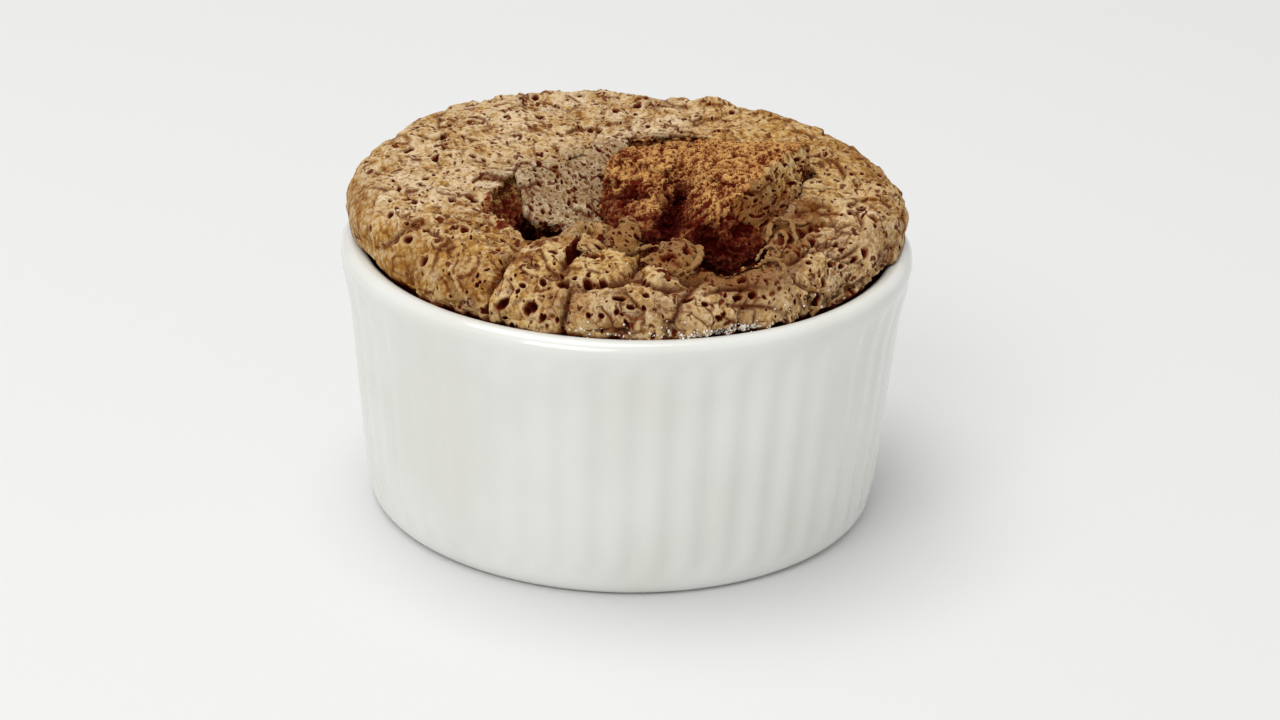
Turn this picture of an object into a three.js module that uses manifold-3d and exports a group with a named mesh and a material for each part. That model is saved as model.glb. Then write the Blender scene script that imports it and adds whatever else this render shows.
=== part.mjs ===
// A chocolate and hazelnut souffle in the fluted porcelain ramekin that it was baked in.
// Millimetres, +Z up. The origin is the middle of the ramekin's foot, on the surface it stands on.
// The side that a guest looks at faces -Y.
import * as THREE from 'three';
import Module from 'manifold-3d';

// Ramekin: outside
const RIM_RADIUS = 47.5;
const RIM_HEIGHT = 46;
const ROLL_RADIUS = 2.2;
const KINK_RADIUS = 45.7;
const KINK_HEIGHT = 34.6;
const BASE_RADIUS = 42.8;
const BASE_ROUNDING = 2.7;

// Ramekin: flutes
const FLUTE_COUNT = 48;
const FLUTE_DEPTH = 0.44;
const FLUTE_BOTTOM = 3.6;
const FLUTE_TOP = 41.6;
const FLUTE_FADE = 1.2;
const SIDES_PER_FLUTE = 4;

// Ramekin: foot ring and inside
const FOOT_WIDTH = 3.6;
const RECESS_DEPTH = 1.2;
const RECESS_SLOPE = 0.9;
const FLOOR_THICKNESS = 4;
const CORNER_RADIUS = 6;
const CORNER_INSET = 4.4;
const KINK_WALL = 3.9;

// Souffle: fit in the ramekin and the edge of its crust
const GAP = 0.3;
const WALL_GAP = 0.4;
const EDGE_SIDES = 96;
const BULGE_RADIUS = 47.2;
const RIGHT_BULGE_RADIUS = 46.4;
const BULGE_HEIGHT = 49.6;
const FRONT_EDGE_RADIUS = 43.2;
const FRONT_EDGE_HEIGHT = 46.6;
const FRONT_HALF_ANGLE = 66;
const FRONT_FADE_ANGLE = 26;
const EDGE_DENTS = [{ depth: 0.35, count: 11, phase: 1 }, { depth: 0.25, count: 23, phase: 0 }];
const UNDERSIDE_STEPS = 3;
const SHOULDER_WIDTH = 5.4;
const FRONT_SHOULDER_WIDTH = 8.5;
const SHOULDER_STEPS = [0.25, 0.9, 2.1, 3.7, 5.6];
const TOP_ROWS = 23;

// Souffle: crust. Heights are above the surface that the ramekin stands on.
const CRUST_HEIGHT = 55;
const CRUST_TILT = [-0.012, 0.024];
const CORNER_RISE = 1.2;
const EDGE_DROP = 0.6;
const LUMP_HEIGHT = 0.45;

// Souffle: the hollow left by the spoon, the crust pushed down in it and the chunk raised beside it
const HOLLOW_FLOOR = 38;
const HOLLOW_MOUTH = 58;
const HOLLOW_TAPER = 0.9;
const ROOT_HEIGHT = 36;
const HOLLOW_OUTLINE = [
  [-18.6, 4.2], [-21.8, -4], [-22.6, -12.5], [-18.8, -21.4], [-15.8, -23.6], [-8.2, -24], [-1.6, -20.8],
  [4.1, -22.6], [9.7, -28], [16.3, -31.2], [21.5, -27.6], [24.4, -17.2], [27.2, -3.9], [31.5, 6.5],
  [28.6, 15], [19.2, 20.6], [7.8, 22], [-1.6, 19.2],
];
const SLAB_HINGE = [[-18, 4], [-1.2, 18.6]];
const SLAB_OUTLINE = [
  [-25, 12], [-18.5, 4.5], [-17.5, -4], [-15.5, -9.5], [-1, -9.5], [1, 4], [-1, 19], [-9, 25],
];
const SLAB_DIP_ANGLE = 15;
const SLAB_STEP = 0.15;
const SLAB_UNDERCUT = 0.86;
const SLAB_ROWS = 4;
const CHUNK_RIDGE = [[8, -23, 54.5], [13, -18, 58], [18.5, -12, 60.6], [24.5, -2, 61.6], [29, 8, 61.2]];
const CHUNK_FACE_RUN = 4;
const CHUNK_FACE_FOOT = 52;
const CHUNK_TOP_SLOPE = 0.06;
const CHUNK_OUTLINE = [
  [29.8, 9], [27.3, -3], [21.8, -13], [15.5, -21], [9, -24],
  [3, -21.5], [-3.5, -14], [-5, -2], [-3, 8], [14, 12],
];
const CHUNK_TOP_ROUNDING = 2.6;
const CHUNK_FOOT_SPREAD = 0.98;
const CHUNK_ROWS = 9;
const CHUNK_ROUGHNESS_SCALE = 1.7;
const CREVICE = { path: [[9, -5], [7.5, -13], [6, -22]], depth: 4, width: 5 };
const OUTLINE_STEP = 1.9;
const RAGGEDNESS = 0.5;

// Souffle: cracks in the crust, each a chain of points, its depth and its width
const CRACKS = [
  { path: [[-17, -28], [-20, -35], [-21.5, -41]], depth: 1.3, width: 2.2 },
  { path: [[-9.5, -25], [-8, -33], [-8.5, -44]], depth: 1.8, width: 2.4 },
  { path: [[12, -30], [9.5, -36], [7.5, -44]], depth: 1.5, width: 2.4 },
  { path: [[26, -29], [28.5, -34], [29, -40]], depth: 1.6, width: 2.2 },
];

const radians = THREE.MathUtils.degToRad;
const smooth = (low, high, value) => THREE.MathUtils.smoothstep(value, low, high);
const mix = THREE.MathUtils.lerp;

// Distance from a point to a segment, in plan.
function segmentDistance(x, y, [ax, ay], [bx, by]) {
  const along = ((x - ax) * (bx - ax) + (y - ay) * (by - ay)) / ((bx - ax) ** 2 + (by - ay) ** 2);
  const t = THREE.MathUtils.clamp(along, 0, 1);
  return { distance: Math.hypot(x - mix(ax, bx, t), y - mix(ay, by, t)), t };
}

// Distance from a point to the nearest part of a chain, with where on the chain that is.
function chainDistance(x, y, chain) {
  let nearest = { distance: Infinity, index: 0, t: 0 };
  for (let index = 0; index + 1 < chain.length; index += 1) {
    const { distance, t } = segmentDistance(x, y, chain[index], chain[index + 1]);
    if (distance < nearest.distance) nearest = { distance, index, t };
  }
  return nearest;
}

// How far inside a closed outline a point lies; negative outside.
function depthInside(x, y, outline) {
  const closed = [...outline, outline[0]];
  let inside = false;
  for (let index = 0; index < outline.length; index += 1) {
    const [ax, ay] = closed[index];
    const [bx, by] = closed[index + 1];
    if ((ay > y) !== (by > y) && x < ax + ((y - ay) * (bx - ax)) / (by - ay)) inside = !inside;
  }
  const { distance } = chainDistance(x, y, closed);
  return inside ? distance : -distance;
}

// Joins rings of points, each going round +Z, into one closed skin that starts and ends in a single point.
function skin(rings) {
  const starts = [];
  const positions = [];
  for (const ring of rings) {
    starts.push(positions.length / 3);
    for (const point of ring) positions.push(...point);
  }
  const faces = [];
  for (let band = 0; band + 1 < rings.length; band += 1) {
    const lowCount = rings[band].length;
    const highCount = rings[band + 1].length;
    const low = (index) => starts[band] + (index % lowCount);
    const high = (index) => starts[band + 1] + (index % highCount);
    let i = lowCount === 1 ? 1 : 0;
    let j = highCount === 1 ? 1 : 0;
    while (i < lowCount || j < highCount) {
      const lowNext = i < lowCount && (j >= highCount || (i + 1) * highCount <= (j + 1) * lowCount);
      if (lowNext) {
        faces.push(low(i), low(i + 1), high(j));
        i += 1;
      } else {
        faces.push(low(i), high(j + 1), high(j));
        j += 1;
      }
    }
  }
  const geometry = new THREE.BufferGeometry();
  geometry.setAttribute('position', new THREE.Float32BufferAttribute(positions, 3));
  geometry.setIndex(faces);
  geometry.computeVertexNormals();
  return geometry;
}

function circleRing(count, radius, height, wave = () => 0) {
  return Array.from({ length: count }, (_, index) => {
    const angle = (2 * Math.PI * index) / count;
    const r = radius + wave(angle);
    return [r * Math.cos(angle), r * Math.sin(angle), height];
  });
}

// Points of an arc in the profile plane, from one angle to another, both ends included.
function arcPoints(centreRadius, centreHeight, radius, fromAngle, toAngle, steps) {
  return Array.from({ length: steps + 1 }, (_, step) => {
    const angle = radians(mix(fromAngle, toAngle, step / steps));
    return [centreRadius + radius * Math.cos(angle), centreHeight + radius * Math.sin(angle)];
  });
}

const rollCentreRadius = RIM_RADIUS - ROLL_RADIUS;
const rollHeight = RIM_HEIGHT - ROLL_RADIUS;
const floorHeight = RECESS_DEPTH + FLOOR_THICKNESS;
const cornerHeight = floorHeight + CORNER_RADIUS;

// Outside of the wall: a straight cone up to the kink, then a wider flare up to the roll of the rim.
function outsideRadius(height) {
  return height < KINK_HEIGHT
    ? mix(BASE_RADIUS, KINK_RADIUS, (height - BASE_ROUNDING) / (KINK_HEIGHT - BASE_ROUNDING))
    : mix(KINK_RADIUS, RIM_RADIUS, (height - KINK_HEIGHT) / (rollHeight - KINK_HEIGHT));
}

// Inside of the wall, from the corner at the floor to the roll.
function insideRadius(height) {
  const cornerWall = outsideRadius(cornerHeight) - CORNER_INSET;
  const kinkWall = KINK_RADIUS - KINK_WALL;
  return height < KINK_HEIGHT
    ? mix(cornerWall, kinkWall, (height - cornerHeight) / (KINK_HEIGHT - cornerHeight))
    : mix(kinkWall, rollCentreRadius - ROLL_RADIUS, (height - KINK_HEIGHT) / (rollHeight - KINK_HEIGHT));
}

function ramekinGeometry() {
  const smoothSides = 2 * FLUTE_COUNT;
  const flutedSides = SIDES_PER_FLUTE * FLUTE_COUNT;
  const flute = (angle) => (FLUTE_DEPTH / 2) * Math.cos(FLUTE_COUNT * angle);
  const footInside = BASE_RADIUS - BASE_ROUNDING - FOOT_WIDTH;
  const cornerCentre = insideRadius(cornerHeight) - CORNER_RADIUS;
  const ring = ([radius, height]) => circleRing(smoothSides, radius, height);
  const fluted = (height) => circleRing(flutedSides, outsideRadius(height), height, flute);
  const plain = (height) => ring([outsideRadius(height), height]);
  return skin([
    [[0, 0, RECESS_DEPTH]],
    ring([footInside - RECESS_SLOPE, RECESS_DEPTH]),
    ring([footInside, 0]),
    ...arcPoints(BASE_RADIUS - BASE_ROUNDING, BASE_ROUNDING, BASE_ROUNDING, -90, 0, 3).map(ring),
    fluted(FLUTE_BOTTOM + FLUTE_FADE),
    fluted(KINK_HEIGHT),
    fluted(FLUTE_TOP),
    plain(FLUTE_TOP + FLUTE_FADE),
    ...arcPoints(rollCentreRadius, rollHeight, ROLL_RADIUS, 0, 180, 6).map(ring),
    ring([insideRadius(KINK_HEIGHT), KINK_HEIGHT]),
    ...arcPoints(cornerCentre, cornerHeight, CORNER_RADIUS, 0, -90, 3).map(ring),
    [[0, 0, floorHeight]],
  ]);
}

// 1 where the crust swells out over the rim, 0 at the front, where it stays inside the rim.
function swell(angle) {
  const turned = THREE.MathUtils.euclideanModulo(THREE.MathUtils.radToDeg(angle) - 90, 360);
  const fromFront = Math.abs(turned - 180);
  return smooth(FRONT_HALF_ANGLE - FRONT_FADE_ANGLE / 2, FRONT_HALF_ANGLE + FRONT_FADE_ANGLE / 2, fromFront);
}

// Widest line of the crust at one angle, with shallow dents.
function crustEdge(angle) {
  const waves = EDGE_DENTS.map(({ depth, count, phase }) => depth * Math.sin(count * angle + phase));
  const dent = Math.min(0, ...waves, waves[0] + waves[1]);
  const sideRadius = mix(BULGE_RADIUS, RIGHT_BULGE_RADIUS, smooth(-1, 1, Math.cos(angle)));
  return {
    edgeRadius: mix(FRONT_EDGE_RADIUS, sideRadius, swell(angle)) + dent,
    edgeHeight: mix(FRONT_EDGE_HEIGHT, BULGE_HEIGHT, swell(angle)),
    shoulderWidth: mix(FRONT_SHOULDER_WIDTH, SHOULDER_WIDTH, swell(angle)),
  };
}

// Gentle lumps of the crust, between -1 and 1.
function lumps(x, y) {
  return (Math.sin(0.42 * x + 1.3) * Math.sin(0.37 * y - 0.6)
    + Math.sin(0.23 * x - 0.71 * y + 2.1) + 0.8 * Math.sin(0.66 * x + 0.31 * y)) / 2.8;
}

// Crust before the spoon: nearly flat, highest at the back left and back right, with a rounded shoulder
// down to its edge.
function crustHeight(x, y) {
  const radius = Math.hypot(x, y);
  const { edgeRadius, edgeHeight, shoulderWidth } = crustEdge(Math.atan2(y, x));
  const corners = (CORNER_RISE * 2 * Math.abs(x) * Math.max(0, y)) / BULGE_RADIUS ** 2;
  const plane = CRUST_HEIGHT + CRUST_TILT[0] * x + CRUST_TILT[1] * y;
  const flat = plane + corners - EDGE_DROP * (radius / BULGE_RADIUS) ** 4;
  const fromShoulder = THREE.MathUtils.clamp(1 - (edgeRadius - radius) / shoulderWidth, 0, 1);
  const lump = LUMP_HEIGHT * lumps(x, y) * (1 - fromShoulder);
  return mix(edgeHeight, flat, Math.sqrt(1 - fromShoulder ** 2)) + lump;
}

// Depth of a groove along a chain of points.
function grooveDepth(x, y, { path, depth, width }) {
  return depth * (1 - smooth(0, width / 2, chainDistance(x, y, path).distance));
}

// The crust pushed down by the spoon: it dips away from its hinge, towards the middle of the hollow. Behind the
// hinge it runs on just under the crust.
function slabHeight(x, y) {
  const [[ax, ay], [bx, by]] = SLAB_HINGE;
  const fromHinge = ((bx - ax) * (ay - y) + (by - ay) * (x - ax)) / Math.hypot(bx - ax, by - ay);
  return crustHeight(x, y) - SLAB_STEP - Math.tan(radians(SLAB_DIP_ANGLE)) * Math.abs(fromHinge);
}

// The raised chunk: a ridge, a steep crust face to its right and a rough crumb top that falls to the left.
function chunkHeight(x, y) {
  const { distance, index, t } = chainDistance(x, y, CHUNK_RIDGE);
  const [ax, ay, az] = CHUNK_RIDGE[index];
  const [bx, by, bz] = CHUNK_RIDGE[index + 1];
  const right = (bx - ax) * (y - ay) - (by - ay) * (x - ax) < 0;
  const top = mix(az, bz, t);
  if (right) return mix(top, CHUNK_FACE_FOOT, Math.min(1, distance / CHUNK_FACE_RUN));
  const inset = THREE.MathUtils.clamp(depthInside(x, y, CHUNK_OUTLINE) / CHUNK_TOP_ROUNDING, 0, 1);
  const awayFromRidge = Math.min(1, distance / CHUNK_FACE_RUN);
  const roundedEdge = CHUNK_TOP_ROUNDING * (1 - Math.sqrt(1 - (1 - inset) ** 2)) * awayFromRidge;
  const rough = LUMP_HEIGHT * lumps(CHUNK_ROUGHNESS_SCALE * x, CHUNK_ROUGHNESS_SCALE * y);
  return top - CHUNK_TOP_SLOPE * distance + rough - roundedEdge - grooveDepth(x, y, CREVICE);
}

// Top of the crust with its cracks, as it was before the spoon.
function crackedHeight(x, y) {
  return crustHeight(x, y) - Math.max(...CRACKS.map((crack) => grooveDepth(x, y, crack)));
}

// A closed outline in even steps, with a ragged torn edge.
function tornOutline(outline) {
  const closed = [...outline, outline[0]];
  const points = [];
  for (let index = 0; index < outline.length; index += 1) {
    const [ax, ay] = closed[index];
    const [bx, by] = closed[index + 1];
    const steps = Math.max(1, Math.round(Math.hypot(bx - ax, by - ay) / OUTLINE_STEP));
    for (let step = 0; step < steps; step += 1) {
      const [x, y] = [mix(ax, bx, step / steps), mix(ay, by, step / steps)];
      points.push([x + RAGGEDNESS * lumps(4 * x, 5 * y), y + RAGGEDNESS * lumps(5 * y, 4 * x)]);
    }
  }
  return counterClockwise(points);
}

function counterClockwise(points) {
  const area = points.reduce((sum, [ax, ay], index) => {
    const [bx, by] = points[(index + 1) % points.length];
    return sum + ax * by - bx * ay;
  }, 0);
  return area > 0 ? points : points.reverse();
}

function middleOf(points) {
  return [0, 1].map((axis) => points.reduce((sum, point) => sum + point[axis], 0) / points.length);
}

// A body standing on an outline. Its flat bottom is spread or drawn in by a factor, and its top has any shape.
function standingBody(outline, bottomHeight, bottomFactor, topHeight, topRows) {
  const points = tornOutline(outline);
  const [centreX, centreY] = middleOf(points);
  const scaled = (factor, height) => points.map(([px, py]) => {
    const x = mix(centreX, px, factor);
    const y = mix(centreY, py, factor);
    return [x, y, height(x, y)];
  });
  const flat = () => bottomHeight;
  const topFactors = Array.from({ length: topRows }, (_, row) => 1 - (row / topRows));
  return skin([
    [[centreX, centreY, bottomHeight]],
    scaled(bottomFactor, flat),
    ...topFactors.map((factor) => scaled(factor, topHeight)),
    [[centreX, centreY, topHeight(centreX, centreY)]],
  ]);
}

// Side of the souffle at one angle as [radius, height], from inside the rim to the widest line of the crust.
// Where the crust swells over the rim, its underside follows the roll at a distance. At the front it curves
// up from the wall of the ramekin to the crust's edge.
function sidePoints(angle) {
  const { edgeRadius, edgeHeight } = crustEdge(angle);
  const out = swell(angle);
  const clear = ROLL_RADIUS + 2 * GAP;
  const overRim = arcPoints(rollCentreRadius, rollHeight, clear, 150, 70, UNDERSIDE_STEPS);
  const insideRim = arcPoints(FRONT_EDGE_RADIUS - clear, FRONT_EDGE_HEIGHT, clear, -45, -5, UNDERSIDE_STEPS);
  const underside = overRim.map(([radius, height], row) => [
    mix(insideRim[row][0], radius, out), mix(insideRim[row][1], height, out),
  ]);
  const belowEdge = [edgeRadius - GAP, mix(underside[UNDERSIDE_STEPS][1], edgeHeight, 0.5)];
  return [...underside, belowEdge, [edgeRadius, edgeHeight]];
}

// The souffle as it came out of the oven.
function wholeSouffle() {
  const angles = Array.from({ length: EDGE_SIDES }, (_, index) => (2 * Math.PI * index) / EDGE_SIDES);
  const ring = ([radius, height]) => circleRing(EDGE_SIDES, radius, height);
  const cornerCentre = insideRadius(cornerHeight) - CORNER_RADIUS;
  const bottom = arcPoints(cornerCentre, cornerHeight, CORNER_RADIUS - GAP, -90, 0, 3);
  const wallHeights = [KINK_HEIGHT, rollHeight - ROLL_RADIUS];
  const wall = wallHeights.map((height) => [insideRadius(height) - WALL_GAP, height]);
  const sides = angles.map(sidePoints);
  const place = (angle, [radius, height]) => [radius * Math.cos(angle), radius * Math.sin(angle), height];
  const sideRings = sides[0].map((_, row) => angles.map((angle, index) => place(angle, sides[index][row])));
  const shoulder = SHOULDER_STEPS.map((inset) => angles.map((angle) => {
    const radius = crustEdge(angle).edgeRadius - inset;
    const [x, y] = [radius * Math.cos(angle), radius * Math.sin(angle)];
    return [x, y, crackedHeight(x, y)];
  }));
  const lastRing = shoulder[shoulder.length - 1];
  const topRings = Array.from({ length: TOP_ROWS - 1 }, (_, row) => lastRing.map(([edgeX, edgeY]) => {
    const outward = 1 - (row + 1) / TOP_ROWS;
    const [x, y] = [edgeX * outward, edgeY * outward];
    return [x, y, crackedHeight(x, y)];
  }));
  return skin([
    [[0, 0, floorHeight + GAP]],
    ...[...bottom, ...wall].map(ring),
    ...sideRings,
    ...shoulder,
    ...topRings,
    [[0, 0, crackedHeight(0, 0)]],
  ]);
}

const wasm = await Module();
wasm.setup();

// A closed skin as a solid that can be cut and joined.
function solidOf(geometry) {
  return new wasm.Manifold(new wasm.Mesh({
    numProp: 3,
    vertProperties: Float32Array.from(geometry.attributes.position.array),
    triVerts: Uint32Array.from(geometry.index.array),
  }));
}

function geometryOf(solid) {
  const { vertProperties, triVerts } = solid.getMesh();
  const geometry = new THREE.BufferGeometry();
  geometry.setAttribute('position', new THREE.BufferAttribute(vertProperties, 3));
  geometry.setIndex(new THREE.BufferAttribute(triVerts, 1));
  geometry.computeVertexNormals();
  return geometry;
}

// The souffle with the hollow cut out, the crust pushed down in it and the chunk raised beside it, as one solid.
function souffleGeometry() {
  const solids = {
    whole: wholeSouffle(),
    hollow: standingBody(HOLLOW_OUTLINE, HOLLOW_FLOOR, HOLLOW_TAPER, () => HOLLOW_MOUTH, 1),
    slab: standingBody(SLAB_OUTLINE, ROOT_HEIGHT, SLAB_UNDERCUT, slabHeight, SLAB_ROWS),
    chunk: standingBody(CHUNK_OUTLINE, ROOT_HEIGHT, CHUNK_FOOT_SPREAD, chunkHeight, CHUNK_ROWS),
  };
  const [whole, hollow, slab, chunk] = Object.values(solids).map(solidOf);
  return geometryOf(whole.subtract(hollow).add(slab).add(chunk));
}

const porcelain = new THREE.MeshStandardMaterial({ color: 0xd9dbd6, roughness: 0.2, metalness: 0 });
const bakedCrust = new THREE.MeshStandardMaterial({ color: 0xa67c52, roughness: 0.85, metalness: 0 });

function piece(name, geometry, material) {
  const mesh = new THREE.Mesh(geometry, material);
  mesh.name = name;
  return mesh;
}

const group = new THREE.Group();
group.add(piece('ramekin', ramekinGeometry(), porcelain));
group.add(piece('souffle', souffleGeometry(), bakedCrust));
export default group;
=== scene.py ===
import math
import bpy
import numpy as np
from mathutils import Matrix, Vector


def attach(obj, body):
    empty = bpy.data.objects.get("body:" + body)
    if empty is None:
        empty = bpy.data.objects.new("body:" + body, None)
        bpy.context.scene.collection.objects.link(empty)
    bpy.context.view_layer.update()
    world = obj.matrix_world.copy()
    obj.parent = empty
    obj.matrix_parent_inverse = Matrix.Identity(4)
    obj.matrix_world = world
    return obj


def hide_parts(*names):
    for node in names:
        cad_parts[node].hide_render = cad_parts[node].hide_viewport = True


# A baked souffle in a fluted porcelain ramekin, with a hollow torn in it by a spoon.
# Shapes are worked out in millimetres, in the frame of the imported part, and put into meshes in metres.

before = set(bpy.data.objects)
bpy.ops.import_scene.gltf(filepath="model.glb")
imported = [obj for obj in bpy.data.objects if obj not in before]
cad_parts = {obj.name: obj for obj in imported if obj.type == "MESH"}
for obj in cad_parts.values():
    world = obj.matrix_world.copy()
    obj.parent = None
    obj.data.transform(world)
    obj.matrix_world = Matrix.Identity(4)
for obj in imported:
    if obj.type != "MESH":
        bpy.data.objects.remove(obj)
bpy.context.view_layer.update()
mm = 0.001
scene = bpy.context.scene
print("frame loaded:", sorted(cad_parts))


# camera, light and floor

cameraSet = {
    "aim": (0, 0, 25),          # point that the view is built around
    "distance": 590,
    "lookDown": 23.5,           # degrees below the horizon
    "roll": 1.74,
    "aimOffset": (-16.3, -10),  # where the aim lies from the middle of a picture 1280 wide
    "focal": 3500,              # in pixels of that picture
    "pictureWidth": 1280,
    "sensor": 36,
    "clip": (0.01, 20),         # in metres
}


def addCamera(cfg):
    # looks along +Y and down; the aim is moved off the middle by shifting the camera sideways and up
    tilt, roll = math.radians(cfg["lookDown"]), math.radians(cfg["roll"])
    forward = Vector((0, math.cos(tilt), -math.sin(tilt)))
    upright = Vector((0, math.sin(tilt), math.cos(tilt)))
    side = Vector((1, 0, 0))
    right = math.cos(roll) * side + math.sin(roll) * upright
    up = -math.sin(roll) * side + math.cos(roll) * upright
    perPixel = cfg["distance"] / cfg["focal"]
    place = Vector(cfg["aim"]) - forward * cfg["distance"]
    place += -side * cfg["aimOffset"][0] * perPixel + upright * cfg["aimOffset"][1] * perPixel
    data = bpy.data.cameras.new("camera")
    data.sensor_width = cfg["sensor"]
    data.lens = cfg["focal"] * cfg["sensor"] / cfg["pictureWidth"]
    data.clip_start, data.clip_end = cfg["clip"]
    camera = bpy.data.objects.new("camera", data)
    scene.collection.objects.link(camera)
    turn = Matrix((right, up, -forward)).transposed().to_4x4()
    camera.matrix_world = Matrix.Translation(place * mm) @ turn
    scene.camera = camera


# places and sizes in metres
lightSet = {
    "world": ((1.0, 1.0, 1.0), 0.60),
    "softBoxes": [
        ("topLight", (-0.25, 0.16, 1.25), 0.8, 6.2, (1.0, 0.99, 0.97)),
        ("frontLight", (-0.42, -0.90, 0.95), 0.7, 5.2, (1.0, 1.0, 1.0)),
    ],
    "aim": (0, 0, 0.04),
    "floorColour": (0.80, 0.805, 0.80, 1),
    "floorRoughness": 0.55,
    "floorHalf": 3.0,
}


def addAreaLight(name, place, size, power, tint, aim):
    # a square soft box whose -Z runs from its place to the aim
    data = bpy.data.lights.new(name, "AREA")
    data.size, data.energy, data.color = size, power, tint
    light = bpy.data.objects.new(name, data)
    scene.collection.objects.link(light)
    light.location = place
    light.rotation_euler = (Vector(aim) - Vector(place)).to_track_quat("-Z", "Y").to_euler()


def addStage(cfg):
    # even light from all round, the soft boxes, and a square floor with its middle at the origin
    tint, strength = cfg["world"]
    world = bpy.data.worlds.new("studio")
    scene.world = world
    world.use_nodes = True
    background = world.node_tree.nodes["Background"].inputs
    background["Color"].default_value = (*tint, 1)
    background["Strength"].default_value = strength
    for box in cfg["softBoxes"]:
        addAreaLight(*box, cfg["aim"])
    half = cfg["floorHalf"]
    mesh = bpy.data.meshes.new("floor")
    outline = [(-half, -half, 0), (half, -half, 0), (half, half, 0), (-half, half, 0)]
    mesh.from_pydata(outline, [], [(0, 1, 2, 3)])
    floor = bpy.data.objects.new("floor", mesh)
    scene.collection.objects.link(floor)
    material = bpy.data.materials.new("paleFloor")
    material.use_nodes = True
    shader = material.node_tree.nodes["Principled BSDF"].inputs
    shader["Base Color"].default_value = cfg["floorColour"]
    shader["Roughness"].default_value = cfg["floorRoughness"]
    mesh.materials.append(material)


scene.view_settings.view_transform = "Standard"
addCamera(cameraSet)
addStage(lightSet)
print("camera and stage made")


# number tools: blends, fixed random spreads, noise, bubbles and pores on whole arrays

farOff = 9.0        # distance, in radii, where no bubble or pore is near
fullTurn = 2 * np.pi


def mix(low, high, share):
    # straight blend
    return low + (high - low) * share


def smooth(low, high, value):
    # 0 below low, 1 above high, S curve between
    t = np.clip((value - low) / (high - low), 0, 1)
    return t * t * (3 - 2 * t)


def clamped(value):
    # cut off below 0 and above 1
    return np.clip(value, 0, 1)


def inPlan(x, y):
    # places in plan as points at height 0
    return np.stack([x, y, np.zeros(x.shape)], axis=-1)


def degreesFrom(turn, middle):
    # how far a direction in degrees lies from a middle one, the shorter way round
    return abs(np.mod(turn - middle + 180, 360) - 180)


def scatter(ix, iy, iz, seed):
    # fixed spread from 0 to 1: whole numbers times large odd numbers, bits folded on themselves twice
    n = (ix * 73856093 ^ iy * 19349663 ^ iz * 83492791 ^ seed * 40503 * 65537) & 0xFFFFFFFF
    n = ((n ^ (n >> 15)) * 739982445) & 0xFFFFFFFF
    n = ((n ^ (n >> 12)) * 695872825) & 0xFFFFFFFF
    return (n ^ (n >> 15)) / 4294967296.0


def cellCorners(count):
    # the steps 0 and 1 in every direction of a lattice cell
    return np.ndindex(*(2,) * count)


def neighbours(x, y, size, seeds, inset):
    # the nine lattice cells in plan round each place: the offset from a spread point in the cell, which is
    # kept off the cell's border by the inset, and the cell's further draws from 0 to 1, one for each pair of
    # seeds
    cx, cy = np.floor(x / size).astype(np.int64), np.floor(y / size).astype(np.int64)
    for dx in (-1, 0, 1):
        for dy in (-1, 0, 1):
            ix, iy = cx + dx, cy + dy
            draw = [scatter(ix, iy, *pair) for pair in seeds]
            offX = x - (ix + mix(inset, 1 - inset, draw[0])) * size
            offY = y - (iy + mix(inset, 1 - inset, draw[1])) * size
            yield offX, offY, draw[2:]


def softNoise(points, size, seed):
    # a spread value on each corner of a lattice of the given size, blended by S curves, from -1 to 1
    p = points / size
    cell = np.floor(p).astype(np.int64)
    f = p - cell
    f = f * f * (3 - 2 * f)
    total = 0
    for step in cellCorners(3):
        weight = 1
        for k in range(3):
            weight = weight * abs(1 - step[k] - f[..., k])
        total = total + weight * scatter(*(cell[..., k] + step[k] for k in range(3)), seed)
    return 2 * total - 1


def layeredNoise(points, size, seed, layers=3, fade=0.5):
    # soft noise of halving size and fading height, summed; each layer is turned against the last
    total, height, reach = 0, 1.0, 0.0
    p = points
    for layer in range(layers):
        total = total + height * softNoise(p, size / 2 ** layer, seed + layer)
        reach += height
        height *= fade
        p = p[..., [1, 2, 0]] + 17.3 * (layer + 1)
    return total / reach


def bubbles(points, spacing, seed, small=0.35, large=0.62, stray=0.6):
    # distance to the nearest bubble's middle over its radius; one bubble sits near the middle of each lattice
    # cell, strays from there, and has a radius from small to large, all in cells
    p = points / spacing
    corner = np.floor(p - 0.5).astype(np.int64)
    nearest = np.full(points.shape[:-1], farOff)
    for step in cellCorners(3):
        cell = [corner[..., k] + step[k] for k in range(3)]
        radius = mix(small, large, scatter(*cell, seed + 4))
        squares = 0
        for k in range(3):
            shift = stray * (scatter(*cell, seed + k + 1) - 0.5)
            squares = squares + (p[..., k] - cell[k] - 0.5 - shift) ** 2
        nearest = np.minimum(nearest, np.sqrt(squares) / radius)
    return nearest


def pores(x, y, recipe):
    # distance to the nearest pore over its radius, in plan; each lattice cell may hold one long pore, turned
    # its own way. Also gives how deep that pore is.
    spacing, number, share, small, large, stretch, middleTurn, turnSpread, shallow, steep = recipe
    nearest, depth = np.full(x.shape, farOff), np.zeros(x.shape)
    for offX, offY, draw in neighbours(x, y, spacing, [(number, k) for k in range(7)], 0.15):
        radius = mix(small, large, draw[0] ** 2)
        length = radius * mix(1.0, stretch, draw[1])
        turn = middleTurn + (draw[2] - 0.5) * turnSpread
        along = offX * np.cos(turn) + offY * np.sin(turn)
        across = -offX * np.sin(turn) + offY * np.cos(turn)
        away = np.where(draw[3] < share, np.hypot(along / length, across / radius), farOff)
        depth = np.where(away < nearest, radius * mix(shallow, steep, draw[4]), depth)
        nearest = np.minimum(nearest, away)
    return nearest, depth


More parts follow.
